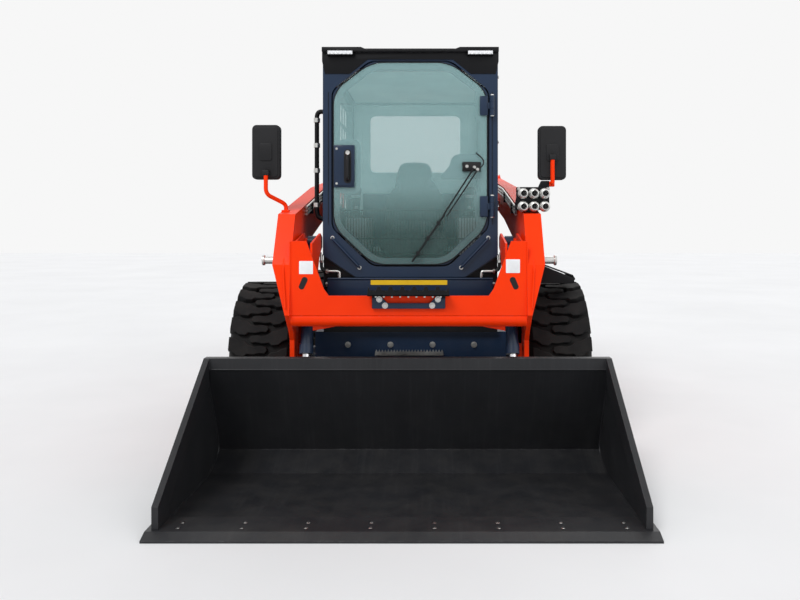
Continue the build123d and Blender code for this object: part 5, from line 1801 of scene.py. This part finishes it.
@dataclass
class Interior:
    """Padded seat, levers, consoles' trim and the lining behind them."""

    cushion_low: Point = (-0.235, 1.726, 0.980)
    cushion_high: Point = (0.235, 2.186, 1.090)
    back_low: Point = (-0.215, 2.096, 1.090)
    back_high: Point = (0.215, 2.256, 1.575)
    lever: Point = (0.325, 1.616, 1.320)

    def build(self, workshop: "Workshop") -> None:
        """Builds every piece and sets it on the chassis."""
        workshop.finish(self._lining(), "chassis", Slot.CONSOLE, workshop.plain["pale lining"])
        guard = self._guard()
        workshop.finish(guard, "chassis", Slot.BLACK)
        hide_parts("footwell_guard")
        workshop.finish(Bench.pair("lever_boots", self._boot()), "chassis", Slot.RUBBER,
                        workshop.plain["seal rubber"])
        workshop.finish(Bench.pair("lever_grips", self._grip()), "chassis", Slot.PLASTIC)
        workshop.finish(Bench.pair("console_trim", self._trim()), "chassis", Slot.PLASTIC)
        self._seat(workshop)
        log.info("interior: lining, levers, trim and seat")

    def _lining(self) -> bpy.types.Object:
        """Pale lining under the roof and on the cab's rear wall."""
        roof = Bench.box("headliner", (-0.395, behind(1.200), 1.958), (0.395, behind(2.260), 1.966), 0.002, 1)
        posts = [Bench.box("rear_trim", (side * 0.376 - 0.030, behind(2.268), 1.000),
                           (side * 0.376 + 0.030, behind(2.280), 1.940), 0.004) for side in SIDES]
        sill = Bench.box("rear_sill", (-0.395, behind(2.268), 0.640), (0.395, behind(2.280), 1.010), 0.004)
        y = behind(2.2700)
        outer = Bench.upright((-0.395, 0.395), y, (1.360, 1.945))
        inner = Bench.upright((-0.297, 0.297), y, (1.500, 1.872))
        window = Bench.ring("window_trim", outer, inner, (0, 0.006, 0), 0.030, 0.085, 0.002)
        return Bench.join("cab_lining", [roof, sill, window] + posts)

    @staticmethod
    def _guard() -> bpy.types.Object:
        """Fine upright bars in the footwell, with their rails."""
        bar = Bench.box("bar", (-0.362, behind(1.3665), 0.621), (-0.3585, behind(1.3700), 1.232), 0.0)
        Bench.rows(bar, 49, 0.0150)
        rails = [Bench.box("guard_rail", (-0.366, behind(1.3700), z), (0.366, behind(1.3755), z + 0.008),
                           0.001, 1) for z in (0.760, 0.915, 1.070, 1.224)]
        return Bench.join("guard_dressed", [bar] + rails)

    def _boot(self) -> bpy.types.Object:
        """Pleated boot under a lever."""
        x, distance = self.lever[0], self.lever[1]
        section = [(0.0, 0.0), (0.0, 0.048)]
        for fold in range(4):
            radius = 0.045 - fold * 0.008
            section += [(0.006 + fold * 0.013, radius), (0.012 + fold * 0.013, radius - 0.007)]
        section.append((0.062, 0.0))
        return Bench.lathe("boot", section, (x, behind(distance), 1.1895), UP, steps=28)

    def _grip(self) -> bpy.types.Object:
        """Shaped grip over a lever's ball, with buttons."""
        x, distance, height = self.lever
        section = [(-0.085, 0.0), (-0.085, 0.016), (-0.070, 0.021), (-0.030, 0.024), (0.004, 0.027),
                   (0.026, 0.033), (0.040, 0.031), (0.048, 0.022), (0.050, 0.0)]
        grip = Bench.lathe("grip", section, (x, behind(distance), height), (0, -0.17, 0.985), steps=28)
        dot = Bench.lathe("button", [(0.0, 0.0), (0.0, 0.006), (0.003, 0.005), (0.004, 0.0)], (0, 0, 0),
                          UP, steps=14)
        places = [(x + step, behind(distance) - 0.033, height + 0.030) for step in (-0.011, 0.011)]
        return Bench.join("grip", [grip, Bench.scatter("buttons", dot, places, (0, -0.9, 0.44))])

    def _trim(self) -> bpy.types.Object:
        """Switch panel with its rockers on a console."""
        outline = [(0.280, behind(1.690), 1.190), (0.370, behind(1.690), 1.190),
                   (0.370, behind(1.960), 1.190), (0.280, behind(1.960), 1.190)]
        panel = Bench.plate("panel", outline, (0, 0, 0.004), corner=0.010, bevel=0.0012)
        rockers = [Bench.box("rocker", (0.292 + column * 0.024, behind(1.710 + row * 0.042), 1.1935),
                             (0.308 + column * 0.024, behind(1.738 + row * 0.042), 1.1990), 0.0015, 1)
                   for column in range(3) for row in range(4)]
        return Bench.join("trim", [panel] + rockers)

    def _seat(self, workshop: "Workshop") -> None:
        """Cloth-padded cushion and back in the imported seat's place."""
        cushion = self._padded("seat_cushion", self.cushion_low, self.cushion_high)
        back = self._padded("seat_back", self.back_low, self.back_high, 0.46)
        seat = Bench.join("seat_dressed", [cushion, back])
        workshop.finish(seat, "chassis", Slot.VINYL)
        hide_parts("seat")

    @staticmethod
    def _padded(name: str, low: Point, high: Point, taper: float = 1.0) -> bpy.types.Object:
        """A block blown up as cloth.

        Args:
            name: The new object's name.
            low: Lowest corner, with its distance behind the edge in the middle.
            high: Highest corner in the same way.
            taper: Width at the top as a share of the width below.

        Returns:
            The puffed block, at the origin.
        """
        inset, foot_share, bulge_height = 0.012, 0.94, 0.45
        pressure, last_frame = 4.0, 20
        half, y, base, top = high[0] - inset, behind(low[1]) + inset, low[2] + inset, high[2] - inset
        middle = base + (top - base) * bulge_height
        corners = [(-half * foot_share, base), (half * foot_share, base), (half, middle),
                   (half * taper, top), (-half * taper, top), (-half, middle)]
        pad = Bench.plate(name, Bench.drawn(corners, y), (0, high[1] - low[1] - 2 * inset, 0),
                          corner=0.030, bevel=0.022, segments=4)
        Bench.modified(pad, "REMESH", mode="VOXEL", voxel_size=0.012)
        cloth = pad.modifiers.new("cloth", "CLOTH")
        cloth.settings.use_pressure = True
        cloth.settings.uniform_pressure_force = pressure
        cloth.settings.effector_weights.gravity = 0.0
        cloth.point_cache.frame_end = last_frame
        scene = bpy.context.scene
        for step in range(1, last_frame + 1):
            scene.frame_set(step)
        bpy.ops.object.modifier_apply(modifier=cloth.name)
        scene.frame_set(1)
        bpy.ops.object.shade_smooth()
        return pad


@dataclass
class RearWork:
    """Door latch, grille frame, lamp ribs, cover handle, exhaust and bolts at the rear."""

    door_face: float = 3.630
    grille: tuple[float, float] = (0.620, 1.180)

    def build(self, workshop: "Workshop") -> None:
        """Builds every piece and sets it on its body."""
        workshop.finish(self._latch(), "rear_door", Slot.BLACK)
        workshop.finish(self._hinge_bolts(), "rear_door", Slot.ZINC)
        workshop.finish(self._grille_frame(), "rear_door", Slot.BLACK)
        workshop.finish(self._lamps(), "rear_door", Slot.LENS, workshop.plain["red lens"])
        workshop.finish(self._cover(), "chassis", Slot.BLACK)
        workshop.finish(self._cover_bolts(), "chassis", Slot.ZINC)
        workshop.finish(self._bumper_bolts(), "chassis", Slot.ZINC)
        log.info("rear: latch, lamps, cover and bumper")

    def _latch(self) -> bpy.types.Object:
        """Paddle latch on the rear door."""
        y, thick = behind(self.door_face), 0.004
        plate = Bench.plate("latch_plate", Bench.upright((-0.405, -0.355), y, (0.830, 0.960)), (0, thick, 0),
                            corner=0.010, bevel=0.001)
        paddle = Bench.plate("paddle", Bench.upright((-0.397, -0.363), y + thick, (0.850, 0.925)),
                             (0, 0.007, 0), corner=0.008, bevel=0.002)
        return Bench.join("rear_latch", [plate, paddle])

    def _hinge_bolts(self) -> bpy.types.Object:
        """Bolts along the door's hinge side."""
        places = [(0.428, behind(self.door_face), z) for z in (0.545, 0.615, 1.145, 1.215)]
        return Bench.bolts("rear_hinge_bolts", places, BACKWARD, 0.0085, 0.007)

    def _grille_frame(self) -> bpy.types.Object:
        """Raised frame round the rear grille."""
        low, high, margin = *self.grille, 0.016
        outline = Bench.upright((-0.356, 0.356), behind(self.door_face), (low - margin, high + margin))
        return Bench.frame("grille_frame", outline, 0.014, (0, 0.005, 0), 0.018, 0.0012)

    def _lamps(self) -> bpy.types.Object:
        """Ribbed lenses on the tail lamps."""
        base, pitch, half = 1.1985, 0.0150, 0.026
        return Bench.join("lamp_ribs", [
            Bench.box("rib", (side * 0.381 - half, behind(3.6443), base + index * pitch),
                      (side * 0.381 + half, behind(3.6463), base + index * pitch + 0.009), 0.0008, 1)
            for side in SIDES for index in range(6)])

    def _cover(self) -> bpy.types.Object:
        """Handle of the engine cover, and a stub of exhaust."""
        corners = [(-0.09, 1.369), (-0.09, 1.392), (0.09, 1.392), (0.09, 1.369)]
        grip = Bench.tube("cover_grip", Bench.drawn(corners, behind(3.545)), 0.007, 0.016, 6)
        section = [(0.0, 0.034), (0.052, 0.034), (0.060, 0.036), (0.060, 0.030), (0.004, 0.029),
                   (0.004, 0.034)]
        stub = Bench.lathe("exhaust", section, (0.370, behind(2.900), 1.366), UP, steps=32, closed=True)
        return Bench.join("cover_dress", [grip, stub])

    def _cover_bolts(self) -> bpy.types.Object:
        """Bolts round the engine cover's top."""
        places = [(side * 0.418, behind(distance), 1.370) for side in SIDES
                  for distance in (2.400, 2.680, 3.120, 3.400, 3.545)]
        return Bench.bolts("cover_bolts", places, UP, 0.0085, 0.006)

    def _bumper_bolts(self) -> bpy.types.Object:
        """Large bolts through the rear bumper."""
        places = [(side * x, behind(3.690), z) for side in SIDES
                  for x in (0.250, 0.310) for z in (0.330, 0.390)]
        return Bench.bolts("bumper_bolts", places, BACKWARD, 0.014, 0.010)


@dataclass
class SideWork:
    """Screen and tower bolts, service covers, roof ribs and reflectors along the machine."""

    screen: float = 0.449
    case_face: float = 0.4895
    case_thickness: float = 0.006

    def build(self, workshop: "Workshop") -> None:
        """Builds every piece and sets it on its body."""
        workshop.finish(Bench.pair("screen_bolts", self._screen_bolts()), "chassis", Slot.ZINC)
        workshop.finish(Bench.pair("tower_bolts", self._tower_bolts()), "chassis", Slot.ZINC)
        workshop.finish(Bench.pair("case_covers", self._case_cover()), "chassis", Slot.BLUE)
        workshop.finish(Bench.pair("case_bolts", self._case_bolts()), "chassis", Slot.ZINC)
        workshop.finish(self._roof_ribs(), "chassis", Slot.BLUE)
        reflectors = Bench.pair("arm_reflectors", self._reflector())
        workshop.finish(reflectors, "lift_arms", Slot.LENS, workshop.plain["amber lens"])
        log.info("sides: bolts, covers, ribs and reflectors")

    @staticmethod
    def _side_panel(x: float, along: Span, up: Span) -> list[Point]:
        """Corners of an upright rectangle along the machine."""
        return [(x, behind(along[0]), up[0]), (x, behind(along[1]), up[0]), (x, behind(along[1]), up[1]),
                (x, behind(along[0]), up[1])]

    def _screen_bolts(self) -> bpy.types.Object:
        """Bolts round the side screen."""
        places = [(self.screen, behind(distance), z) for distance in (1.218, 1.560, 1.910, 2.254)
                  for z in (1.242, 1.918)]
        places += [(self.screen, behind(distance), 1.580) for distance in (1.218, 2.254)]
        return Bench.bolts("screen_bolt", places, RIGHT, 0.0085, 0.007)

    def _tower_bolts(self) -> bpy.types.Object:
        """Lock bolts beside the lift pivots."""
        (x, y, z), circle = (0.646, behind(3.200), 1.450), 0.042
        places = [(x, y + circle * math.cos(turn), z + circle * math.sin(turn))
                  for turn in (math.tau * index / 3 + 0.5 for index in range(3))]
        return Bench.bolts("tower_bolt", places, RIGHT, 0.0075, 0.007)

    def _case_cover(self) -> bpy.types.Object:
        """Service cover on the chain case between the wheels."""
        outline = self._side_panel(self.case_face, (1.925, 2.195), (0.330, 0.520))
        return Bench.plate("case_cover", outline, (self.case_thickness, 0, 0), corner=0.030, bevel=0.0015)

    def _case_bolts(self) -> bpy.types.Object:
        """Bolts of the chain case's service cover."""
        x = self.case_face + self.case_thickness
        places = [(x, behind(distance), z) for distance in (1.945, 2.060, 2.175) for z in (0.350, 0.500)]
        places += [(x, behind(distance), 0.425) for distance in (1.945, 2.175)]
        return Bench.bolts("case_bolt", places, RIGHT, 0.0085, 0.007)

    @staticmethod
    def _roof_ribs() -> bpy.types.Object:
        """Shallow pressed ribs along the roof."""
        half = 0.055
        return Bench.join("roof_ribs", [
            Bench.box("rib", (x - half, behind(1.300), 2.0195), (x + half, behind(2.240), 2.0265), 0.0035, 3)
            for x in (-0.255, 0.0, 0.255)])

    def _reflector(self) -> bpy.types.Object:
        """Blank amber reflector on the right arm."""
        outline = self._side_panel(0.6405, (2.620, 2.700), (1.405, 1.437))
        return Bench.plate("reflector", outline, (0.003, 0, 0), corner=0.006, bevel=0.0008, segments=1)


# The place where the photograph was taken from


@dataclass
class Studio:
    """Floor, plain surround, soft lights and the camera."""

    floor_colour: Colour = (0.84, 0.84, 0.84)
    camera_place: Point = (0.107, -4.533, 1.1286)
    lens: float = 33.75
    shift: tuple[float, float] = (-0.039375, -0.0891)
    sweep_size: float = 60.0
    surround_light: Colour = (0.52, 0.53, 0.55)
    surround_seen: Colour = (0.93, 0.93, 0.93)

    def build(self) -> None:
        """Builds the whole studio."""
        self._floor()
        self._world()
        self._lights()
        self._camera()
        bpy.context.scene.view_settings.view_transform = "Standard"

    def _floor(self) -> None:
        """A plain pale floor."""
        bpy.ops.object.select_all(action="DESELECT")
        bpy.ops.mesh.primitive_plane_add(size=self.sweep_size, location=(0, 0, 0))
        floor = bpy.context.object
        floor.name = "floor"
        material, sheet, shader = start_material("pale floor")
        grain = place_group(sheet, EFFECTS.grain, Fine=60.0, Coarse=0.6)
        darker = scaled(self.floor_colour, 0.94)
        sheet.link(sheet.mix(grain.outputs["Tone"], darker, self.floor_colour), shader.inputs["Base Color"])
        set_inputs(shader, Roughness=0.85)
        floor.data.materials.append(material)

    def _world(self) -> None:
        """An even pale surround."""
        world = bpy.data.worlds.new("surround")
        bpy.context.scene.world = world
        world.use_nodes = True
        sheet = NodeSheet(world.node_tree)
        background = world.node_tree.nodes["Background"]
        path = sheet.add("ShaderNodeLightPath")
        seen = sheet.maths("MAXIMUM", path.outputs["Is Camera Ray"],
                           sheet.maths("MAXIMUM", path.outputs["Is Glossy Ray"],
                                       path.outputs["Is Transmission Ray"]))
        surround = sheet.mix(seen, self.surround_light, self.surround_seen)
        sheet.link(surround, background.inputs["Color"])
        background.inputs["Strength"].default_value = 1.0

    def _lights(self) -> None:
        """Wide suns from the front, the right and behind."""
        lamps = (("key", (-0.45, -0.80, 0.95), 24.0, 1.55), ("fill", (0.9, -0.8, 0.5), 50.0, 0.55),
                 ("back", (0.3, 0.9, 0.9), 50.0, 0.6))
        for name, place, width, strength in lamps:
            data = bpy.data.lights.new(name, "SUN")
            data.energy = strength
            data.angle = math.radians(width)
            lamp = bpy.data.objects.new(name, data)
            lamp.rotation_euler = (-Vector(place)).to_track_quat("-Z", "Y").to_euler()
            bpy.context.scene.collection.objects.link(lamp)

    def _camera(self) -> None:
        """The photograph's viewpoint."""
        data = bpy.data.cameras.new("photo camera")
        data.lens = self.lens
        data.shift_x, data.shift_y = self.shift
        camera = bpy.data.objects.new("photo camera", data)
        camera.location = self.camera_place
        camera.rotation_euler = (math.radians(90), 0, 0)
        bpy.context.scene.collection.objects.link(camera)
        bpy.context.scene.camera = camera


def main() -> None:
    """Builds the studio and every sub-assembly, and reports each."""
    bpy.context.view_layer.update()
    Studio().build()
    workshop = Workshop()
    workshop.dress_nodes()
    tyres = Tyres()
    tyres.build(workshop)
    Rims().build(workshop, tyres)
    for assembly in (CabShell(), StepPlate(), BlockAndPlate(), BucketWork(), ArmWork(), Couplers(), Mirrors(),
                     DoorWork(), CabFront(), Interior(), RearWork(), SideWork()):
        assembly.build(workshop)


if __name__ == "__main__":
    main()
